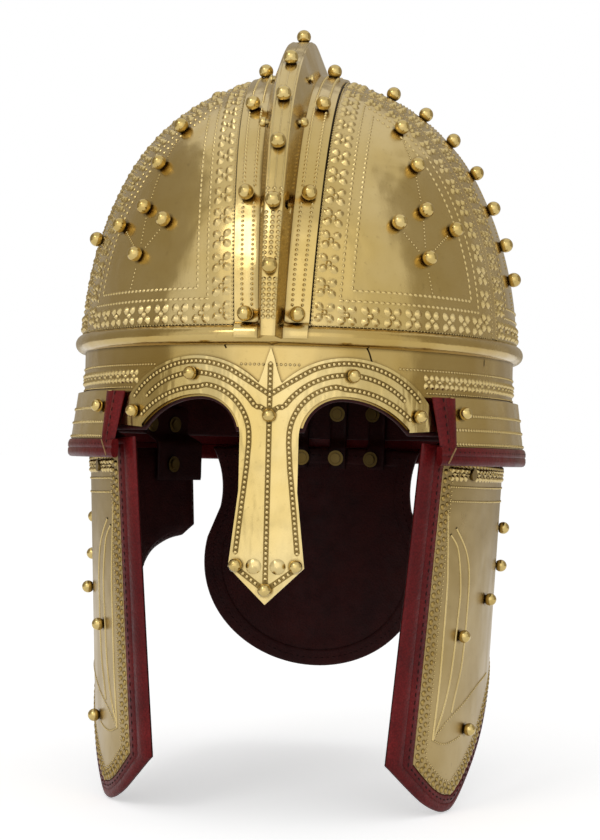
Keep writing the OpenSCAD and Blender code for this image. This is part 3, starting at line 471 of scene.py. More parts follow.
# Each leather: slot, deep tone, rubbed tone, range of roughness and depth of its grain
LEATHERS = {
    "red_leather": ("leather", (0.098, 0.005, 0.006), (0.18, 0.0115, 0.012), (0.3, 0.46), 0.35),
    # Leather of the lining, the cheeks' inner faces and the neck guard: a darker leather, darkened further as
    # painted shade of the helmet's inside
    "inner_leather_with_shade": ("leather", (0.027, 0.004, 0.0038), (0.052, 0.0075, 0.0065), (0.45, 0.65), 0.5),
    "strap_leather": ("dark_leather", (0.02, 0.0035, 0.003), (0.038, 0.0055, 0.005), (0.38, 0.58), 0.4),
    "thread": ("leather", (0.02, 0.003, 0.003), (0.042, 0.006, 0.005), (0.5, 0.7), 0.2),
    "cut_leather": ("leather", (0.3, 0.17, 0.07), (0.42, 0.26, 0.12), (0.6, 0.75), 0.2),
}
brass = {word: (brass_material(f"{word}_brass", *values), "brass") for word, values in BRASSES.items()}
leather = {name: (leather_material(name, *values), slot) for name, (slot, *values) in LEATHERS.items()}

# Material of a CAD node, by the first of these words that its name holds
hide = leather["strap_leather"]
NODE_LOOKS = (("rivet", brass["dark"]), ("stud", brass["ball"]), ("pins", brass["ball"]),
              ("nasal_guard", brass["guard"]), ("rim_roll", brass["rim"]), ("brow_band", brass["rim"]),
              ("cheek_plate", brass["dull"]), ("neck_plate", brass["dull"]), ("leather", hide),
              ("strap", hide), ("lining", hide), ("", brass["sheet"]))
for name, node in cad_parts.items():
    look = next(material for word, (material, slot) in NODE_LOOKS if word in name)
    for i in range(len(node.data.materials)):
        node.data.materials[i] = look
    if not node.data.materials:
        node.data.materials.append(look)

# Ridge, a smooth bent sheet in place of the faceted one
RIDGE_T = 1.2
RIDGE_LAY = 0.2
FLANGE_TOP = RIDGE_LAY + RIDGE_T
RIDGE_LOW_H, RIDGE_TOP_H = 13.6, 17
ROLL_R = 4.25
ROLL_X = 103.95
ROLL_LOW, ROLL_HIGH = -14, 66
SEAT_R = ROLL_R + RIDGE_LAY
LOW_A = asin(6.2 / FLANK_R)
RIDGE_STUD_ZS = (25.3, 51.1, 75.7, 96, 114.2, 131.2)
FLANGE_STUDS = ((10.8, 8.6), (13.3, 60.9), (15.4, 104.5), (15.9, 128.6))
RIDGE_SHARP = 40


def ridge_h(z):
    return RIDGE_LOW_H + (RIDGE_TOP_H - RIDGE_LOW_H) * sin(bowl_a(max(z, 0))) ** 8


def face_w(z):
    return 3.4 + 0.016 * max(z, 0)


def base_w(z):
    return face_w(z) + (0.14 + 0.0017 * max(z, 0)) * (ridge_h(z) - 2.5)


def flange_w(z):
    return 15.6 + 0.048 * max(z, 0)


def station(kind, a):
    """Height, level reach and normal of a station of the ridge, as in front of the helmet."""
    n = Vector((cos(a) / STRETCH, sin(a))).normalized()
    if kind == "roll":
        return SEAT_R * sin(a), ROLL_X + SEAT_R * cos(a) - RIDGE_LAY, n
    if a < JOIN:
        return FLANK_R * sin(a), FLANK_X + FLANK_R * cos(a), n
    return CROWN_Z + CROWN_R * sin(a), CROWN_R * cos(a), n


def seat_point(kind, a, x, h):
    """Point at height h over the bowl or the rim, at x from the middle."""
    z, r, n = station(kind, a)
    if kind == "bowl" and a >= JOIN:
        q = sqrt(CROWN_R ** 2 - x * x)
        return Vector((x, -STRETCH * q * cos(a) - h * n.x, CROWN_Z + q * sin(a) + h * n.y))
    return Vector((x, -STRETCH * sqrt(r * r - x * x) - h * n.x, z + h * n.y))


def box_point(kind, a, x, h):
    """Point at height h over the bowl's middle line, moved level to x."""
    z = station(kind, a)[0]
    b = bowl_a(max(z, 0))
    n = Vector((cos(b) / STRETCH, sin(b))).normalized()
    return Vector((x, -STRETCH * bowl_r(z) - h * n.x, z + h * n.y))


def half_ring(kind, a):
    """Section of the sheet, under its face, out to the flange's edge and back over it."""
    z = station(kind, a)[0]
    w, b, f, h = flange_w(z), base_w(z), face_w(z), ridge_h(z)
    in_b, in_f, in_h = b - RIDGE_T, f - RIDGE_T, h - RIDGE_T
    under = ((f - 1.8, in_h), (in_f - 0.2, in_h - 0.3), (in_f + 0.15, in_h - 1))
    seat = ((in_b, RIDGE_LAY + 1.4), (in_b + 0.5, RIDGE_LAY + 0.3), (b + 0.8, RIDGE_LAY),
            ((w + b) / 2, RIDGE_LAY), (w, RIDGE_LAY), (w, FLANGE_TOP), ((w + b) / 2, FLANGE_TOP),
            (b + 1.8, FLANGE_TOP), (b + 0.5, FLANGE_TOP + 0.5), (b, FLANGE_TOP + 1.8))
    over = ((f + 0.15, h - 1.6), (f - 0.4, h - 0.4), (f - 1.6, h))
    return ([box_point(kind, a, *p) for p in under] + [seat_point(kind, a, *p) for p in seat]
            + [box_point(kind, a, *p) for p in over])


def ridge_ring(kind, a):
    half = half_ring(kind, a)
    return half + [hand_point(p, -1) for p in reversed(half)]


front = [("roll", radians(v)) for v in steps(ROLL_LOW, ROLL_HIGH, 10)]
front += [("bowl", a) for a in steps(LOW_A, JOIN, 24)[:-1] + steps(JOIN, pi / 2, 44)]
rings = [ridge_ring(*s) for s in front]
rings += [[Vector((p.x, -p.y, p.z)) for p in ring] for ring in reversed(rings[:-1])]
ridge_sheet = Shape()
ridge_sheet.grid(rings)
half = len(rings[0]) // 2
for base, turn in ((0, 1), ((len(rings) - 1) * 2 * half, -1)):
    for j in range(half // 2 - 1):
        quad = (base + j, base + j + 1, base + half - 2 - j, base + half - 1 - j)
        mirror_quad = tuple(2 * base + 2 * half - 1 - q for q in quad)
        ridge_sheet.faces += [quad[::turn], mirror_quad[::-turn]]
    ridge_sheet.faces.append((base + 2 * half - 1, base, base + half - 1, base + half)[::turn])
ridge_shell = ridge_sheet.build("ridge_shell", brass["sheet"], sharp=RIDGE_SHARP, weld=True)


def middle_spot(z, h, side):
    """Point over the bowl's middle line and the direction that stands upright there."""
    a = bowl_a(z)
    n = Vector((0, side * cos(a) / STRETCH, sin(a))).normalized()
    return Vector((0, side * STRETCH * bowl_r(z), z)) + n * h, n


# Oblong openings through both walls near the front and the rear
OPENING_Z, OPENING_H = 52, 7.6
OPENING_W, OPENING_L, OPENING_REACH = 1.7, 3.5, 14
CORNERS = ((-1, -1), (1, -1), (1, 1), (-1, 1))
cutter = Shape()
for side in (-1, 1):
    p, n = middle_spot(OPENING_Z, OPENING_H, side)
    along = Vector((1, 0, 0)).cross(n)
    corners = [p + along * (i * OPENING_W) + n * (j * OPENING_L) for i, j in CORNERS]
    ends = [Vector((x, 0, 0)) for x in (-OPENING_REACH, OPENING_REACH)]
    cutter.grid([[c + end for c in corners] for end in ends], caps=True)
block = cutter.build("opening_cutter", brass["sheet"], weld=True)
cut = ridge_shell.modifiers.new("openings", "BOOLEAN")
cut.operation, cut.solver, cut.object = "DIFFERENCE", "EXACT", block
bpy.context.view_layer.update()
shaped = ridge_shell.evaluated_get(bpy.context.evaluated_depsgraph_get())
cut_mesh = bpy.data.meshes.new_from_object(shaped)
ridge_shell.modifiers.clear()
ridge_shell.data = cut_mesh
bpy.data.objects.remove(block)
cut_mesh.set_sharp_from_angle(angle=radians(RIDGE_SHARP))
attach(ridge_shell, "bowl")
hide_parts("ridge")

# Beads, rosettes and lines on the plates of the bowl
ARROW = ((49, 97), (56.7, 78.8), (61.3, 57.9), (74, 50.9), (50.4, 50.8), (63.4, 36.2))
ARROW_FOOT = (66.5, 21.5)
ARROW_LINES = ((*ARROW[:3], ARROW[5], ARROW_FOOT), (ARROW[3], ARROW[5]), (ARROW[4], ARROW[5]))
SIDE_ROW_Y = 20
SIDE_ROW_ZS = (34.7, 50.9, 68, 84.5, 99.5, 111.5, 121)
SPARE_STUDS = ((48, -47), (122.5, 0))
RIM_Z = 3.4
SEAM_CLEAR, FRONT_SHARE, SIDE_SHARE = 3.2, 1.08, 0.95
EDGE_INSET, ROSETTE_INSET, ROW_INSETS = 0.9, 5.9, (12, 16.6)
PLATE_ROSETTE, BAND_ROSETTE = (2.35, 1.6, 1.25), (1.7, 1.25, 0.95)
CHEEK_ROSETTE, NECK_ROSETTE = (1.8, 1.25, 1), (1.75, 1.2, 1)


def seam_at(z, d):
    """Place of a line at d from a seam, where d is above 0 on a front plate and below 0 on a side plate."""
    return SEAM_Y - SEAM_LEAN * z + (SEAM_CLEAR + FRONT_SHARE * d if d > 0 else SIDE_SHARE * d)


def top_corner(d, away):
    """Height where lines beside a seam and the flange meet; away is 1 on a front plate, -1 on a side."""
    low, high = 60, BOWL_H - 0.5
    for _ in range(40):
        z = (low + high) / 2
        if bowl_r(z) ** 2 - (seam_at(z, away * d) / STRETCH) ** 2 > (flange_w(z) + d) ** 2:
            low = z
        else:
            high = z
    return low


def even_z(z0, z1, count=40):
    return [station("bowl", a)[0] for a in steps(bowl_a(z0), bowl_a(z1), count)]


def seam_side(d, away, z0, z1, side):
    """Line beside a seam, in front of or behind the middle."""
    return [bowl_yz(side * seam_at(z, away * d), z) for z in even_z(z0, z1)]


def rim_side(z, a0, a1, count):
    """Level line near the rim."""
    r = bowl_r(z)
    return [bowl_spot(Vector((r * cos(a), STRETCH * r * sin(a), z))) for a in steps(a0, a1, count)]


def frame_front(d, side):
    """Closed line at distance d inside a front or rear plate of the left."""
    z0, z1 = RIM_Z + d, top_corner(d, 1)
    down = [bowl_xz(flange_w(z) + d, z, side) for z in even_z(z1, z0)]
    y0, y1 = down[-1][0].y, side * seam_at(z0, d)
    a0, a1 = atan2(y0 / STRETCH, down[-1][0].x), atan2(y1 / STRETCH, bowl_yz(y1, z0)[0].x)
    return down + rim_side(z0, a0, a1, 40)[1:] + seam_side(d, 1, z0, z1, side)[1:-1]


def frame_side(d):
    """Closed line at distance d inside a side plate of the left."""
    z0, z1 = RIM_Z + d, top_corner(d, -1)
    edge = seam_at(z0, -d)
    a1 = atan2(edge / STRETCH, sqrt(bowl_r(z0) ** 2 - (edge / STRETCH) ** 2))
    top_y = seam_at(z1, -d)
    top = []
    for y in steps(top_y, -top_y, 40):
        z = z1
        for _ in range(3):
            z = bowl_xy(flange_w(z) + d, y)[0].z
        top.append(bowl_xy(flange_w(z) + d, y))
    return (seam_side(d, -1, z1, z0, -1) + rim_side(z0, -a1, a1, 50)[1:] + seam_side(d, -1, z0, z1, 1)[1:]
            + top[1:-1])


def plate_trim(make_frame, hand, stud_points, lines):
    """Borders of one plate, and dotted lines between its studs."""
    made = Shape([(hand_point(p, hand), 4.6) for p in stud_points])
    made.row(placed(make_frame(EDGE_INSET), hand), 0.5, 1.8, 0.7, closed=True)
    made.rosettes(placed(make_frame(ROSETTE_INSET), hand), 10.8, PLATE_ROSETTE, closed=True)
    for inset in ROW_INSETS:
        made.row(placed(make_frame(inset), hand), 0.62, 2.7, 0.9, 1.6, closed=True, cap=Shape.SOFT)
    for line in lines:
        made.row(placed(line, hand), 0.5, 1.75)
    return made


for side, word in ((-1, "front"), (1, "rear")):
    arrow = [bowl_xz(x, z, side)[0] for x, z in ARROW]
    shafts = []
    for line in ARROW_LINES:
        spots = []
        for (x0, z0), (x1, z1) in zip(line, line[1:]):
            spots += [bowl_xz(x0 + (x1 - x0) * t, z0 + (z1 - z0) * t, side) for t in steps(0, 1, 12)]
        shafts.append(spots)
    for hand, hand_word in HANDS:
        made = plate_trim(lambda d, s=side: frame_front(d, s), hand, arrow, shafts)
        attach(made.build(f"{word}_plate_beads_{hand_word}", brass["trim"]), "bowl")

for hand, hand_word in HANDS:
    row_y = -hand * SIDE_ROW_Y
    row = [bowl_yz(row_y, z)[0] for z in SIDE_ROW_ZS]
    line = [bowl_yz(row_y, z) for z in even_z(20, SIDE_ROW_ZS[-1], 50)]
    if hand < 0:
        row += [bowl_yz(y, z)[0] for z, y in SPARE_STUDS]
    made = plate_trim(frame_side, hand, row, [line])
    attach(made.build(f"side_plate_beads_{hand_word}", brass["trim"]), "bowl")


# Beads and lines on the ridge
RIDGE_BEADS_TOP, RIDGE_LINES_LOW = 62, 60


def ridge_line(x_of, h_of, boxed):
    """Line along the ridge, its distance from the middle and its height given for each z."""
    make = box_point if boxed else seat_point
    spots = []
    for a in steps(LOW_A, pi / 2, 90):
        z = station("bowl", a)[0]
        p = make("bowl", a, x_of(z), h_of(z))
        if boxed:
            b = bowl_a(z)
            n = Vector((0, -cos(b) / STRETCH, sin(b))).normalized()
        else:
            n = bowl_spot(Vector((p.x, p.y, min(p.z, BOWL_H))))[1]
        spots.append((p, n))
    rear = [(Vector((p.x, -p.y, p.z)), Vector((n.x, -n.y, n.z))) for p, n in reversed(spots[:-1])]
    return spots + rear


top_studs = [middle_spot(z, ridge_h(z), side)[0] for z in RIDGE_STUD_ZS for side in (-1, 1)]
edge_studs = [bowl_xz(x, z, side, FLANGE_TOP)[0] for x, z in FLANGE_STUDS for side in (-1, 1)]
made = Shape([(p, 4.4) for p in top_studs])
for share in (-1, 0, 1):
    spots = ridge_line(lambda z, s=share: s * (face_w(z) - 1.4),
                       lambda z, s=share: ridge_h(z) - 0.06 * abs(s), True)
    for side in (-1, 1):
        low = [s for s in spots if s[0].z < RIDGE_BEADS_TOP and s[0].y * side > 0]
        made.row(low, 0.92, 2.3, 0.85, cap=Shape.SOFT)
    made.line([s for s in spots if s[0].z > RIDGE_LINES_LOW], 0.5, 0.22)
for hand in (1, -1):
    made.clear = [(hand_point(p, hand), 4.5) for p in edge_studs]
    for x_of in (lambda z: flange_w(z) - 3.4, lambda z: base_w(z) + 3.2):
        spots = placed(ridge_line(x_of, lambda z: FLANGE_TOP, False), hand)
        made.row(spots, 0.62, 2.2, 0.9, cap=Shape.SOFT)
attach(made.build("ridge_beads", brass["trim"]), "bowl")

# Band under the rim: two bead lines with rosettes between them
BAND_R = 103.5
BROW_R = 39.6
BROW_C = Vector((32.8, -8.8 - BROW_R))
BROW_MARGIN, NOSE_HALF, NOSE_TOP = 1.4, 33, -17
BAND_ROWS, BAND_ROSETTES = (-12.3, -22.2), -17.3


def under_brow(p):
    """True where the nasal guard's brows hide the band."""
    x, z = abs(p.x), p.z
    over_eye = hypot(x - BROW_C.x, z - BROW_C.y) < BROW_R + BROW_MARGIN
    return p.y <= 0 and (over_eye or (x < NOSE_HALF and z < NOSE_TOP))


band = Shape()
for z in BAND_ROWS:
    for spot in walk(wall_loop(z, BAND_R), 1.9, True):
        if not under_brow(spot[0]):
            band.bead(spot, 0.58, 0.85)
for spot in walk(wall_loop(BAND_ROSETTES, BAND_R), 6.6, True):
    if not under_brow(spot[0] + Vector((0, 0, -2.6))):
        band.rosette(spot, BAND_ROSETTE)
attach(band.build("band_beads", brass["trim"]), "bowl")

# Short dark cracks in the band
marks = Shape()
for crack in (((39, -2.8), (40.7, -5.7), (42, -9.9), (42.2, -11)), ((-20.4, -4.2), (-19.6, -5.6))):
    marks.bed([wall_xz(x, z, BAND_R, -1) for x, z in crack], 0.7, 0.04)
marks.bed([wall_yz(-62.2, z, BAND_R, 1) for z in (-5.1, -6.4, -8)], 0.6, 0.04)
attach(marks.build("band_marks", brass["crack_and_shadow"]), "bowl")

# Painted shadow beside the flange, whose edge stands off the front plates a little: a dark strip on the
# plates
flange_shadow = Shape()
# Painted shadow: dark strips along the flange's edge, wider near the top
for hand, width, foot, top in ((1, 0.5, 5, 74), (1, 0.85, 74, 124), (-1, 0.45, 5, 110)):
    edge = [bowl_xz(flange_w(z) + width / 2, z, -1) for z in even_z(foot, top, 60)]
    flange_shadow.bed(placed(edge, hand), width, 0.05)
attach(flange_shadow.build("flange_edge_shadow", brass["crack_and_shadow"]), "bowl")

# Bead rows of the nasal guard and its brows, each on a dark strip of painted shade that shows between and
# around the beads
NASAL_OUT = 105.05
EYE_X, EYE_TOP = 30.5, 25.1
INNER_R, OUTER_R = 18, 36
INNER_C = Vector((EYE_X, -EYE_TOP - INNER_R))
OUTER_C = Vector((EYE_X, -EYE_TOP - OUTER_R))
NASAL_STUDS = ((34.3, -16.4), (61.6, -32.6), (0, -33.9), (12.5, -97.3), (0, -107.4))


def brow_arc(c, r, low, high):
    """Arc on the guard, its angles in degrees from the wearer's left."""
    return [(c.x + r * cos(radians(v)), c.y + r * sin(radians(v))) for v in steps(low, high, 30)]


def on_guard(points):
    """Spots close enough together to follow the guard's face."""
    points, spots = [Vector(p) for p in points], []
    for a, b in zip(points, points[1:]):
        count = max(1, round((b - a).length))
        spots += [wall_xz(q.x, q.y, NASAL_OUT, -1) for q in (a.lerp(b, k / count) for k in range(count))]
    return spots + [wall_xz(points[-1].x, points[-1].y, NASAL_OUT, -1)]


OUTER_ROW = [(0, -25.2), (8.5, -19.8)] + brow_arc(BROW_C, 37.2, 115, 37)
MIDDLE_ROW = [(0, -33.2), (3.6, -30.4)] + brow_arc(BROW_C, 32.3, 146, 44)
EYE_ROW = [(13.1, -92), (11.2, -74), (9.2, -56), (8.5, -46)]
EYE_ROW += brow_arc(INNER_C, 22, 178, 96) + brow_arc(OUTER_C, 39, 88, 44)
FOOT_ROW = [(11.4, -99.4), (2.4, -106)]
MIDDLE_LINE = [(0, v) for v in steps(-12, -105, 60)]

guard = Shape([(wall_xz(s * x, z, NASAL_OUT, -1)[0], 3.3) for x, z in NASAL_STUDS for s in (-1, 1)])
bead_shade_strips = Shape()
rows = [on_guard(points) for points in (OUTER_ROW, MIDDLE_ROW, EYE_ROW, FOOT_ROW)]
for spots in rows + [placed(row, -1) for row in rows] + [on_guard(MIDDLE_LINE)]:
    guard.row(spots, 0.9, 2.15, 0.72)
    # Painted shade: a flat dark strip under the row, seen between the beads
    bead_shade_strips.bed(spots, 2.4)
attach(guard.build("nasal_beads", brass["trim"]), "bowl")
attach(bead_shade_strips.build("nasal_bead_shade", brass["dark"]), "bowl")

# Skirt
SKIRT_IN = 105.35
SKIRT_T = 1.1
SKIRT_TOP, SKIRT_LOW, SKIRT_EDGE = -23.5, -45, -53.4
SKIRT_LEAN = 2.8 / (SKIRT_TOP - SKIRT_LOW)
BRASS_FRONT_TOP, BRASS_FRONT_LOW, LEATHER_FRONT = -88.5, -93.5, -98
SKIRT_ROWS = (-31.3, -37.6, -43.9)
SKIRT_STUDS = ((80.3, -30.6, -1), (84, -30.6, 1), (45, -30.6, 1))
BACKING_LAY, BACKING_FRONT = 0.15, -90


def skirt_r(z):
    return SKIRT_IN + (SKIRT_TOP - max(z, SKIRT_LOW)) * SKIRT_LEAN


LOW_R = skirt_r(SKIRT_LOW)


def skirt_edge_y(z):
    """Front edge of the skirt's brass."""
    return BRASS_FRONT_TOP + (BRASS_FRONT_LOW - BRASS_FRONT_TOP) * (SKIRT_TOP - z) / (SKIRT_TOP - SKIRT_EDGE)


skirt = Shape([(wall_xz(h * x, z, skirt_r(z) + SKIRT_T, s)[0], 3.9)
               for x, z, s in SKIRT_STUDS for h in (-1, 1)])
for z in SKIRT_ROWS:
    r = skirt_r(z) + SKIRT_T
    spots = [wall_t(t, z, r) for t in back_angles(skirt_edge_y(z) + 1.2, r, 200)]
    skirt.row(spots, 0.78, 2.1, 0.75)
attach(skirt.build("skirt_beads", brass["trim"]), "bowl")

# Rolled lower edge of the skirt's leather as (distance outwards, height)
ROLLED_EDGE = ((1.55, -45.2), (2.1, -45.9), (2.4, -47), (2.45, -48.5), (2.12, -49.1), (2.45, -49.7),
               (2.5, -51.2), (2.25, -52.4), (1.5, -53.2), (0.5, -53.4), (-0.5, -53.2), (-1.1, -52.4),
               (-1.35, -50.5), (-1.35, -47), (-1.2, -45.5), (-0.6, -45.2))
# Binding of its front edge as (share of the way back to the brass, height over its inner face)
FRONT_BINDING = ((1, 0.1), (1, 1.3), (0.94, 1.85), (0.78, 2.25), (0.62, 2.3), (0.5, 2.15), (0.44, 1.8),
                 (0.38, 2.1), (0.24, 2.2), (0.1, 1.9), (0.02, 1.2), (0, 0.6), (0.04, 0.15))
edging = Shape()
thick = SKIRT_IN - (BAND_R + BACKING_LAY) - BACKING_LAY
backing = ((BAND_R + 0.2, SKIRT_TOP), (BAND_R + BACKING_LAY + thick, SKIRT_TOP),
           (LOW_R - 0.2, SKIRT_LOW - 0.2), (LOW_R - 0.2 - thick, SKIRT_LOW - 0.2))
edge = [(LOW_R + o, z) for o, z in ROLLED_EDGE]
for section, front_y, count in ((edge, LEATHER_FRONT, 220), (backing, BACKING_FRONT, 160)):
    rows = [[wall_t(t, z, r)[0] for r, z in section] for t in back_angles(front_y, LOW_R, count)]
    edging.grid(rows, caps=True)


def binding_y(z, share):
    return LEATHER_FRONT + share * (skirt_edge_y(z) - LEATHER_FRONT)


for hand in (1, -1):
    rows = []
    for z in steps(SKIRT_TOP - 0.3, SKIRT_EDGE + 0.3, 30):
        thin = 0.55 + 0.45 * min(1, (z - SKIRT_EDGE) / 1.6)
        rows.append([wall_yz(binding_y(z, f), z, skirt_r(z) + 0.05 + lift * thin, hand)[0]
                     for f, lift in FRONT_BINDING])
    edging.grid(rows, caps=True)
skirt_edging = edging.build("skirt_edging", leather["red_leather"], sharp=50, weld=True)
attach(skirt_edging, "bowl")
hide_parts("skirt_leather")

# Pale cut where the front binding folds round the lower corner
corner = Shape()
for hand in (1, -1):
    fold = [wall_yz(y, z, LOW_R + 2.45, hand) for y, z in ((-93.6, -45.6), (-95.4, -49), (-97.2, -52.6))]
    corner.line(fold, 0.9, 0.22, 1.2)
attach(corner.build("skirt_corner_cuts", leather["cut_leather"]), "bowl")

STITCH_LIFT = 2.2
sewing = Shape()
sewing.stitches([wall_t(t, -47.3, LOW_R + STITCH_LIFT) for t in back_angles(-92, LOW_R, 200)])
for hand in (1, -1):
    sewing.stitches([wall_yz(binding_y(z, 0.24), z, skirt_r(z) + STITCH_LIFT, hand)
                     for z in steps(-25, -50, 24)])
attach(sewing.build("skirt_stitches", leather["thread"]), "bowl")

# Lining band
LINER_OUT, LINER_T = 102.2, 2
LINER_LOW, LINER_TOP = -41, 14
LINER_INSET = 2.2
LINER_STEPS = 480


def lining_low(p):
    """Lower edge of the lining: straight, but arched over the eyes."""
    off = abs(p.x) - EYE_X
    c, r = (INNER_C, INNER_R - LINER_INSET) if off <= 0 else (OUTER_C, OUTER_R - LINER_INSET)
    if p.y > 0 or abs(off) > r:
        return LINER_LOW
    return max(LINER_LOW, c.y + sqrt(r * r - off ** 2))


lining = Shape()
rows = []
for k in range(LINER_STEPS):
    t = 2 * pi * k / LINER_STEPS
    low = lining_low(wall_t(t, 0, LINER_OUT)[0])
    heights = steps(low + 1.2, LINER_TOP - 0.6, 6)
    section = [(z, 0.05) for z in reversed(heights)]
    section += [(low + 0.3, 0.25), (low + 0.02, 1), (low + 0.3, LINER_T - 0.25)]
    section += [(z, LINER_T - 0.05) for z in heights] + [(LINER_TOP - 0.05, LINER_T / 2)]
    rows.append([wall_t(t, z, LINER_OUT - depth)[0] for z, depth in section])
lining.grid(rows, closed_rows=True)
lining_piece = lining.build("lining", leather["inner_leather_with_shade"], sharp=60, weld=True)
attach(lining_piece, "bowl")
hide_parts("lining_band")

# Cheek pieces, laid out as (y, z) on an oval wall that leans a little
CHEEK_W = 99.95
CHEEK_RATIO = 122.5 / CHEEK_W
CHEEK_T, CHEEK_BRASS_T, LAY = 3, 1.1, 0.05
CHEEK_IN = CHEEK_W - CHEEK_BRASS_T - LAY - CHEEK_T
CHEEK_OUT = CHEEK_IN + CHEEK_T
CHEEK_RIM_IN = CHEEK_IN - 0.8
CHEEK_HINGE = Vector((80, 0, -47))
CHEEK_LEAN = Matrix.Rotation(radians(2.6), 3, "Y")
CHEEK_POINTS = ((-93, -44.5), (-98.5, -185), (-90, -194.5), (-81, -202.5), (-72, -207.2), (-64.5, -208.4),
                (-57.5, -205.8), (-44, -194.2), (-25.5, -179), (-8, -165), (15, -154), (34, -143.5),
                (46, -130), (50.5, -114), (59, -103.5), (72, -97.3), (82, -95.2), (88.5, -90),
                (88.5, -54), (84, -48.5))
FRONT_SIDES = 6
CHEEK_STUDS = ((0, -82), (-5, -100), (-35.2, -114.3), (-64, -129.6), (-52.7, -172.6))
CHEEK_STRAPS, CHEEK_RIVETS_Z = (-62, 72), -57
CHEEK_DIVIDE = 4


def cheek_spot(y, z, r, hand):
    p, n = wall_yz(y, z, r, 1, CHEEK_RATIO)
    p, n = CHEEK_LEAN @ (p - CHEEK_HINGE) + CHEEK_HINGE, CHEEK_LEAN @ n
    return hand_point(p, hand), hand_point(n, hand)


def edge_width(i):
    """Width of the leather edge beside the side of the outline that starts at point i."""
    if i == 0:
        return 10
    if i == len(CHEEK_POINTS) - 1:
        return 6
    return 7.5 if i < FRONT_SIDES else 4.5


def inset_points(more):
    """Corners of the outline moved inwards by the edge's width and more."""
    out, count = [], len(CHEEK_POINTS)
    pts = [Vector(p) for p in CHEEK_POINTS]
    for i in range(count):
        u, v = (pts[i] - pts[i - 1]).normalized(), (pts[(i + 1) % count] - pts[i]).normalized()
        nu, nv = Vector((-u.y, u.x)), Vector((-v.y, v.x))
        c = nu.dot(nv)
        du = edge_width((i - 1) % count) + more
        dv = edge_width(i) + more
        if c > 0.9:
            out.append(pts[i] + (nu + nv) * ((du + dv) / 2 / (1 + c)))
        else:
            out.append(pts[i] + (nu * (du - c * dv) + nv * (dv - c * du)) / (1 - c * c))
    return out


def rounded(pts):
    """Curve through the points, but the first one and the last three are corners."""
    return [pts[0]] + smooth_run(pts[1:-3], 6) + list(pts[-3:])


def cheek_loop(more, hand):
    """Closed line on the brass, at a distance inside its edge."""
    points = rounded(inset_points(more))
    return [cheek_spot(p.x, p.y, CHEEK_W, hand) for p in matched(points, points, 3)[0]]


def cheek_level(z, y0, y1, hand):
    return [cheek_spot(y, z, CHEEK_W, hand) for y in steps(y0, y1, 50)]


# Sections of the leather edge and its lining, as (share of the way to the outline, half width)
CHEEK_RIM = ((0, CHEEK_OUT), (0, 99.75), (0.05, 100.05), (0.25, 100.2), (0.46, 100.15), (0.5, 99.9),
             (0.54, 100.12), (0.75, 100.15), (0.9, 99.95), (0.97, 99.6), (1, 99.1), (0.98, 98.6),
             (0.92, 98.1), (0.8, 97.5), (0.6, 96.9), (0.3, 96.3), (0.08, 95.95), (0, CHEEK_IN))
CHEEK_COVER = ((0.97, 98.4), (0.92, 97.93), (0.8, 97.33), (0.6, 96.73), (0.3, 96.12), (0.08, 95.74),
               (0, 95.52))

# Embossed ornament: two sweeping lines, a stem, and the dotted edges of a leaf
SWEEP_OUTER = ((-72.5, -81.1), (-65.5, -88.5), (-61.5, -94.3), (-59.2, -101.3), (-58.3, -110.5),
               (-58.9, -130.2), (-60.4, -143.9), (-64.3, -156), (-66.5, -164))
SWEEP_INNER = ((-76, -84), (-70.6, -89.6), (-67.6, -98.8), (-65.8, -110.3), (-66.4, -121.6), (-67.8, -137.9),
               (-69.8, -151.4), (-73.9, -164.7), (-78.7, -175.1))
STEM_LINE = ((-79, -73), (-77, -93), (-76, -110), (-76.4, -137), (-77, -153.6), (-78.7, -175.1))
LEAF_LINE = ((-78.7, -175.1), (-70.2, -167.7), (-57.7, -161.4), (-40.2, -154), (-21.4, -150.2))
BOW_LINE = ((-78.7, -175.1), (-71.4, -177.4), (-62.9, -176.7), (-55.8, -174.7))


def panel(section, outer, inner, spot_at, ends=(0, -1)):
    """Edge between two outlines, and a face inside it at each of the section's given ends."""
    shape = Shape()
    shape.grid([[spot_at(*i.lerp(o, f), r)[0] for o, i in zip(outer, inner)] for f, r in section])
    for end in ends:
        shape.fill([tuple(p) for p in inner], lambda u, v: spot_at(u, v, section[end][1])[0])
    return shape


def add_stitches(shape, seams, outer, inner, spot_at):
    """Closed seams as (share of the way to the outline, half width, side that it faces, height)."""
    for f, r, flip, tall in seams:
        spots = [spot_at(*i.lerp(o, f), r) for o, i in zip(outer, inner)]
        shape.stitches([(p, n * flip) for p, n in spots], tall, closed=True)


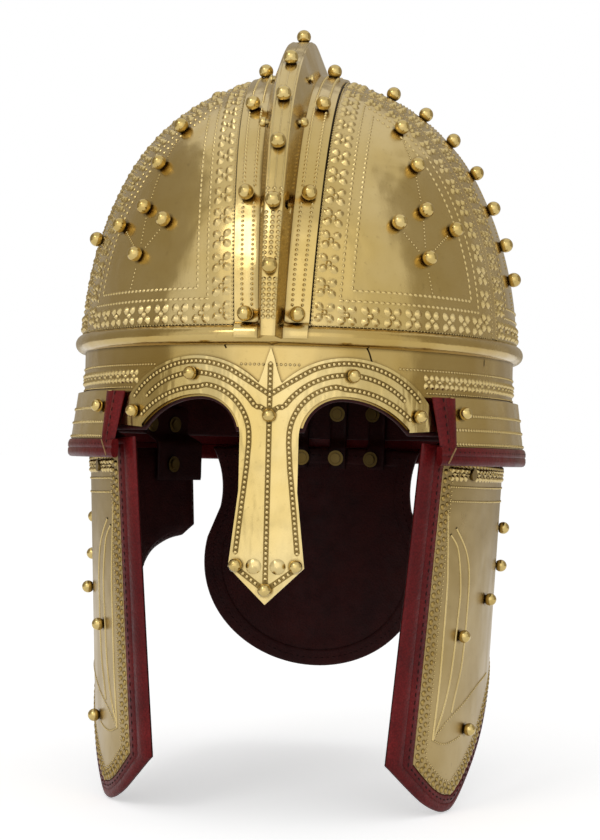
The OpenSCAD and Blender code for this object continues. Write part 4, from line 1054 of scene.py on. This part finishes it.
for hand, word in HANDS:
    body = f"{word}_cheek"
    outer, inner = matched(rounded([Vector(p) for p in CHEEK_POINTS]), rounded(inset_points(0)), CHEEK_DIVIDE)

    def spot_at(y, z, r):
        return cheek_spot(y, z, r, hand)

    base = panel(CHEEK_RIM, outer, inner, spot_at)
    piece = base.build(f"cheek_base_{word}", leather["red_leather"], sharp=55, weld=True)
    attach(piece, body)
    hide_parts(f"cheek_leather_{word}")

    cover = panel(CHEEK_COVER, outer, inner, spot_at, (-1,))
    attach(cover.build(f"cheek_lining_{word}", leather["inner_leather_with_shade"], weld=True), body)

    sewing = Shape()
    add_stitches(sewing, ((0.28, 100.18, 1, 0.7), (0.35, 96.2, -1, 0.4)), outer, inner, spot_at)
    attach(sewing.build(f"cheek_stitches_{word}", leather["thread"]), body)

    clear = [(spot_at(y, z, CHEEK_W)[0], 4.2) for y, z in CHEEK_STUDS]
    clear += [(spot_at(y, CHEEK_RIVETS_Z, CHEEK_W)[0], 4) for y in CHEEK_STRAPS]
    border = Shape(clear)
    border.row(cheek_loop(1.7, hand), 1.5, 3.9, 0.5, closed=True)
    border.row(cheek_loop(4.3, hand), 1.25, 3.9, 0.55, closed=True)
    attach(border.build(f"cheek_border_{word}", brass["border"]), body)

    trim = Shape(clear)
    trim.row(cheek_loop(6.2, hand), 0.5, 1.9, 0.8, closed=True)
    for z in (-62.8, -69.2):
        trim.row(cheek_level(z, -78, 76, hand), 0.6, 1.9, 0.8)
    trim.rosettes(cheek_level(CHEEK_RIVETS_Z, -76, 74, hand), 7.4, CHEEK_ROSETTE)
    for line in (SWEEP_OUTER, SWEEP_INNER, STEM_LINE):
        trim.line([spot_at(p.x, p.y, CHEEK_W) for p in smooth_run(line)], 1.3, 0.42)
    for line in (LEAF_LINE, BOW_LINE):
        trim.row([spot_at(p.x, p.y, CHEEK_W) for p in smooth_run(line)], 0.5, 1.7, 0.8)
    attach(trim.build(f"cheek_beads_{word}", brass["trim"]), body)

# Hinge straps
STRAP_OUT = LINER_OUT - LINER_T - 0.15
STRAP_T = 2
BEND_Z, BEND_DROP, BEND_EASE = -41.2, 3.2, 1.5
CHEEK_STRAP_W, NECK_STRAP_W = 26, 9.5


def strap_path(top, low, low_r):
    """Middle line of a strap as (half width of the oval, height)."""
    top_r, bend = STRAP_OUT - STRAP_T / 2, BEND_Z + BEND_EASE
    pts = [(top_r, z) for z in steps(top, bend, 8)]
    pts += [(top_r + (low_r - STRAP_OUT) * t * t * (3 - 2 * t), bend - (BEND_DROP + 2 * BEND_EASE) * t)
            for t in steps(0.12, 0.88, 7)]
    return pts + [(low_r - STRAP_T / 2, z) for z in steps(BEND_Z - BEND_DROP - BEND_EASE, low, 12)]


def strap(shape, path, width, place):
    """place(offset across, half width of the oval, height) gives a strap's point."""
    half = width / 2
    shares = [(-half, 0.3), (-half + 0.35, 0.75), (-half + 0.9, 0.97)]
    shares += [(v, 0.97) for v in steps(-half + 2.5, half - 2.5, max(2, round(width / 3)))]
    shares += [(half - 0.9, 0.97), (half - 0.35, 0.75), (half, 0.3)]
    rows = []
    for k, (r, z) in enumerate(path):
        thin = 0.75 if k in (0, len(path) - 1) else 1
        outer = [place(v, r + s * thin, z) for v, s in shares]
        rows.append(outer + [place(v, r - s * thin, z) for v, s in reversed(shares)])
    shape.grid(rows, caps=True)


for hand, word in HANDS:
    made = Shape()
    for y0 in CHEEK_STRAPS:
        strap(made, strap_path(-27, -65, CHEEK_RIM_IN - 0.3), CHEEK_STRAP_W,
              lambda v, r, z, y0=y0: wall_yz(y0 + v, z, r, hand)[0])
    piece = made.build(f"cheek_strap_{word}", leather["strap_leather"], sharp=50, weld=True)
    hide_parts(f"cheek_straps_{word}")
    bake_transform(piece)

# Neck guard
NECK_IN = 99.5
NECK_T, NECK_BRASS_T = 1.8, 1
NECK_FACE = NECK_IN + NECK_T + LAY + NECK_BRASS_T
NECK_RATIO = 1.19
NECK_HINGE = Vector((0, 118, -44))
NECK_LEAN = Matrix.Rotation(radians(4), 3, "X")
NECK_R, NECK_LOW, NECK_TOP = 60, -167.5, -45.5
WAIST_W, WAIST_Z, WAIST_R = 51.4, -68, 52.6
NECK_EDGE = 9
NECK_RIM_IN = NECK_IN - 0.6
NECK_STRAPS, NECK_RIVETS_Z = (-32, -10.5, 10.5, 32), -51


def neck_spot(x, z, r):
    p, n = wall_xz(x, z, r, 1, NECK_RATIO)
    return NECK_LEAN @ (p - NECK_HINGE) + NECK_HINGE, NECK_LEAN @ n


def neck_outline(inset):
    """From the lowest point round the left side to the top, then mirrored."""
    mid = NECK_LOW + NECK_R
    c = Vector((WAIST_W + WAIST_R, WAIST_Z))
    r0, r1 = NECK_R - inset, WAIST_R + inset
    d = hypot(c.x, c.y - mid)
    turn = atan2(c.y - mid, c.x)
    a = acos((d * d + r0 * r0 - r1 * r1) / (2 * d * r0))
    b = acos((d * d + r1 * r1 - r0 * r0) / (2 * d * r1))
    side = [Vector((r0 * cos(t), mid + r0 * sin(t))) for t in steps(-pi / 2, turn - a, 40)]
    top = asin((NECK_TOP - inset - c.y) / r1)
    side += [Vector((c.x - r1 * cos(t), c.y + r1 * sin(t))) for t in steps(-turn + b, top, 24)]
    side += [Vector((side[-1].x * (1 - t), side[-1].y)) for t in steps(0, 1, 12)[1:]]
    return side + [Vector((-p.x, p.y)) for p in reversed(side[1:-1])]


def neck_loop(inset):
    """Closed line on the brass, at a distance inside its edge."""
    return [neck_spot(p.x, p.y, NECK_FACE) for p in neck_outline(NECK_EDGE + inset)]


NECK_RIM = ((0, NECK_IN + NECK_T), (0, 102.3), (0.05, 102.6), (0.3, 102.72), (0.46, 102.68),
            (0.5, 102.45), (0.54, 102.66), (0.8, 102.55), (0.93, 102.1), (1, 101.2), (1, 100.2),
            (0.95, 99.3), (0.8, 98.95), (0.5, 98.92), (0.2, 98.92), (0.05, 99.05), (0, 99.3),
            (0, NECK_IN))
outer, inner = neck_outline(0), neck_outline(NECK_EDGE)
base = panel(NECK_RIM, outer, inner, neck_spot)
neck_base = base.build("neck_base", leather["inner_leather_with_shade"], sharp=55, weld=True)
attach(neck_base, "neck_guard")
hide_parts("neck_leather")

sewing = Shape()
add_stitches(sewing, ((0.5, 98.92, -1, 0.7), (0.28, 102.7, 1, 0.7)), outer, inner, neck_spot)
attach(sewing.build("neck_stitches", leather["thread"]), "neck_guard")

rivets = [neck_spot(x, NECK_RIVETS_Z, NECK_FACE)[0] for x in NECK_STRAPS]
trim = Shape([(p, 4) for p in rivets])
for inset, r, pitch, tall in ((2.6, 1.35, 4.6, 0.6), (5.6, 0.58, 2, 0.85), (16, 0.62, 2.2, 0.85)):
    trim.row(neck_loop(inset), r, pitch, tall, closed=True)
trim.clear = [(p, 6) for p in rivets]
trim.rosettes(neck_loop(10.8), 7.4, NECK_ROSETTE, closed=True)
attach(trim.build("neck_beads", brass["trim"]), "neck_guard")

made = Shape()
for x0 in NECK_STRAPS:
    strap(made, strap_path(-20, -57, NECK_RIM_IN * NECK_RATIO / STRETCH - 0.25), NECK_STRAP_W,
          lambda v, r, z, x0=x0: wall_xz(x0 + v, z, r, 1)[0])
piece = made.build("neck_strap", leather["strap_leather"], sharp=50, weld=True)
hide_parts("neck_straps")
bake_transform(piece)

# Floor, backdrop and lamps, in metres
FLOOR_HALF = 40
FLOOR_GLOW = 0.48
WORLD_LIGHT = 0.62
low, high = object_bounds()
floor_z = low.z - 0.0005


def flat_stage(name, corners, material):
    mesh = bpy.data.meshes.new(name)
    mesh.from_pydata(corners, [], [(0, 1, 2, 3)])
    obj = new_object(name, mesh)
    mesh.materials.append(material)
    obj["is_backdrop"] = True
    return obj


def bare_material(name):
    """Material with nothing but its output, which a caller fills."""
    m = bpy.data.materials.new(name)
    m.use_nodes = True
    t = m.node_tree
    t.nodes.remove(t.nodes["Principled BSDF"])
    return m, t, t.nodes["Material Output"].inputs["Surface"]


def seen_directly(t):
    """1 for camera, glossy and transmission rays."""
    path = t.nodes.new("ShaderNodeLightPath")
    found = path.outputs["Is Camera Ray"]
    for ray in ("Is Glossy Ray", "Is Transmission Ray"):
        found = add_node(t, "Math", {0: found, 1: path.outputs[ray]}, operation="MAXIMUM").outputs[0]
    return found


pale, t, surface = bare_material("pale_floor")
matte = add_node(t, "BsdfDiffuse", {"Color": (0.86, 0.86, 0.86, 1)})
shown = spread(t, seen_directly(t), 0, 1, 0, FLOOR_GLOW)
glow = add_node(t, "Emission", {"Color": (1, 1, 1, 1), "Strength": shown})
both = add_node(t, "AddShader", {0: matte.outputs[0], 1: glow.outputs[0]})
t.links.new(both.outputs[0], surface)
flat_stage("floor", [(x * FLOOR_HALF, y * FLOOR_HALF, floor_z) for x, y in CORNERS], pale)

world = bpy.data.worlds.new("studio")
bpy.context.scene.world = world
world.use_nodes = True
t = world.node_tree
shown = spread(t, seen_directly(t), 0, 1, WORLD_LIGHT, 1)
set_inputs(t, t.nodes["Background"], {"Color": (1, 1, 1, 1), "Strength": shown})


def card(name, centre, normal, width, height, colour):
    """Card that only metal sees, for the studio's darker sides."""
    m, t, surface = bare_material(name)
    t.links.new(add_node(t, "Emission", {"Color": (*colour, 1)}).outputs[0], surface)
    n = Vector(normal).normalized()
    right = Vector((0, 0, 1)).cross(n).normalized() * (width / 2)
    up = n.cross(right).normalized() * (height / 2)
    c = Vector(centre)
    obj = flat_stage(name, [c - right - up, c + right - up, c + right + up, c - right + up], m)
    for rays in ("camera", "diffuse", "shadow", "transmission"):
        setattr(obj, f"visible_{rays}", False)


card("left_card", (-1.3, 0.35, 0.1), (1, 0, 0), 1.9, 3, (0.44, 0.4, 0.33))
card("right_card", (1.3, 0.45, 0.1), (-1, 0, 0), 1.7, 3, (0.5, 0.46, 0.39))
card("rear_card", (0, 1.4, 0.1), (0, -1, 0), 2.7, 3, (0.44, 0.4, 0.33))
card("top_card", (0, 0.4, 1.3), (0, 0, -1), 2.7, 1.9, (0.7, 0.66, 0.58))
card("low_card", (0, 0, floor_z + 0.004), (0, 0, 1), 2.7, 2.4, (0.3, 0.25, 0.16))


def soft_light(name, place, target, size, power):
    data = bpy.data.lights.new(name, "AREA")
    data.shape = "SQUARE"
    data.size = size
    data.energy = power
    obj = new_object(name, data)
    obj.location = place
    obj.rotation_euler = (Vector(target) - Vector(place)).to_track_quat("-Z", "Y").to_euler()


soft_light("front_wide", (0.05, -1.7, 0.25), (0, 0, 0), 2.6, 7)
soft_light("front_near", (-0.1, -1.5, 0.35), (0, 0, 0), 1.3, 2)
soft_light("key", (-0.75, -1.25, 1.1), (0, 0, -0.02), 0.5, 3.2)

# Camera
AZIMUTH, ELEVATION, ROLL = radians(5.69), radians(-3.239), radians(1.436)
FAR, TARGET = 0.9, Vector((0.000567, 0, -0.03305))
FOCAL_PX, PHOTO_PX, SENSOR = 1835.2, 840, 36
eye = FAR * Vector((sin(AZIMUTH) * cos(ELEVATION), -cos(AZIMUTH) * cos(ELEVATION), sin(ELEVATION)))
ahead = (TARGET - eye).normalized()
right = ahead.cross(Vector((0, 0, 1))).normalized()
up = right.cross(ahead)
lens = bpy.data.cameras.new("camera")
lens.sensor_width = SENSOR
lens.lens = FOCAL_PX / PHOTO_PX * SENSOR
lens.clip_start = 0.05
camera = new_object("camera", lens)
turn = Matrix((right * cos(ROLL) + up * sin(ROLL), -right * sin(ROLL) + up * cos(ROLL), -ahead)).transposed()
camera.matrix_world = Matrix.Translation(eye) @ turn.to_4x4()
bpy.context.scene.camera = camera
bpy.context.scene.view_settings.view_transform = "Standard"

low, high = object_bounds()
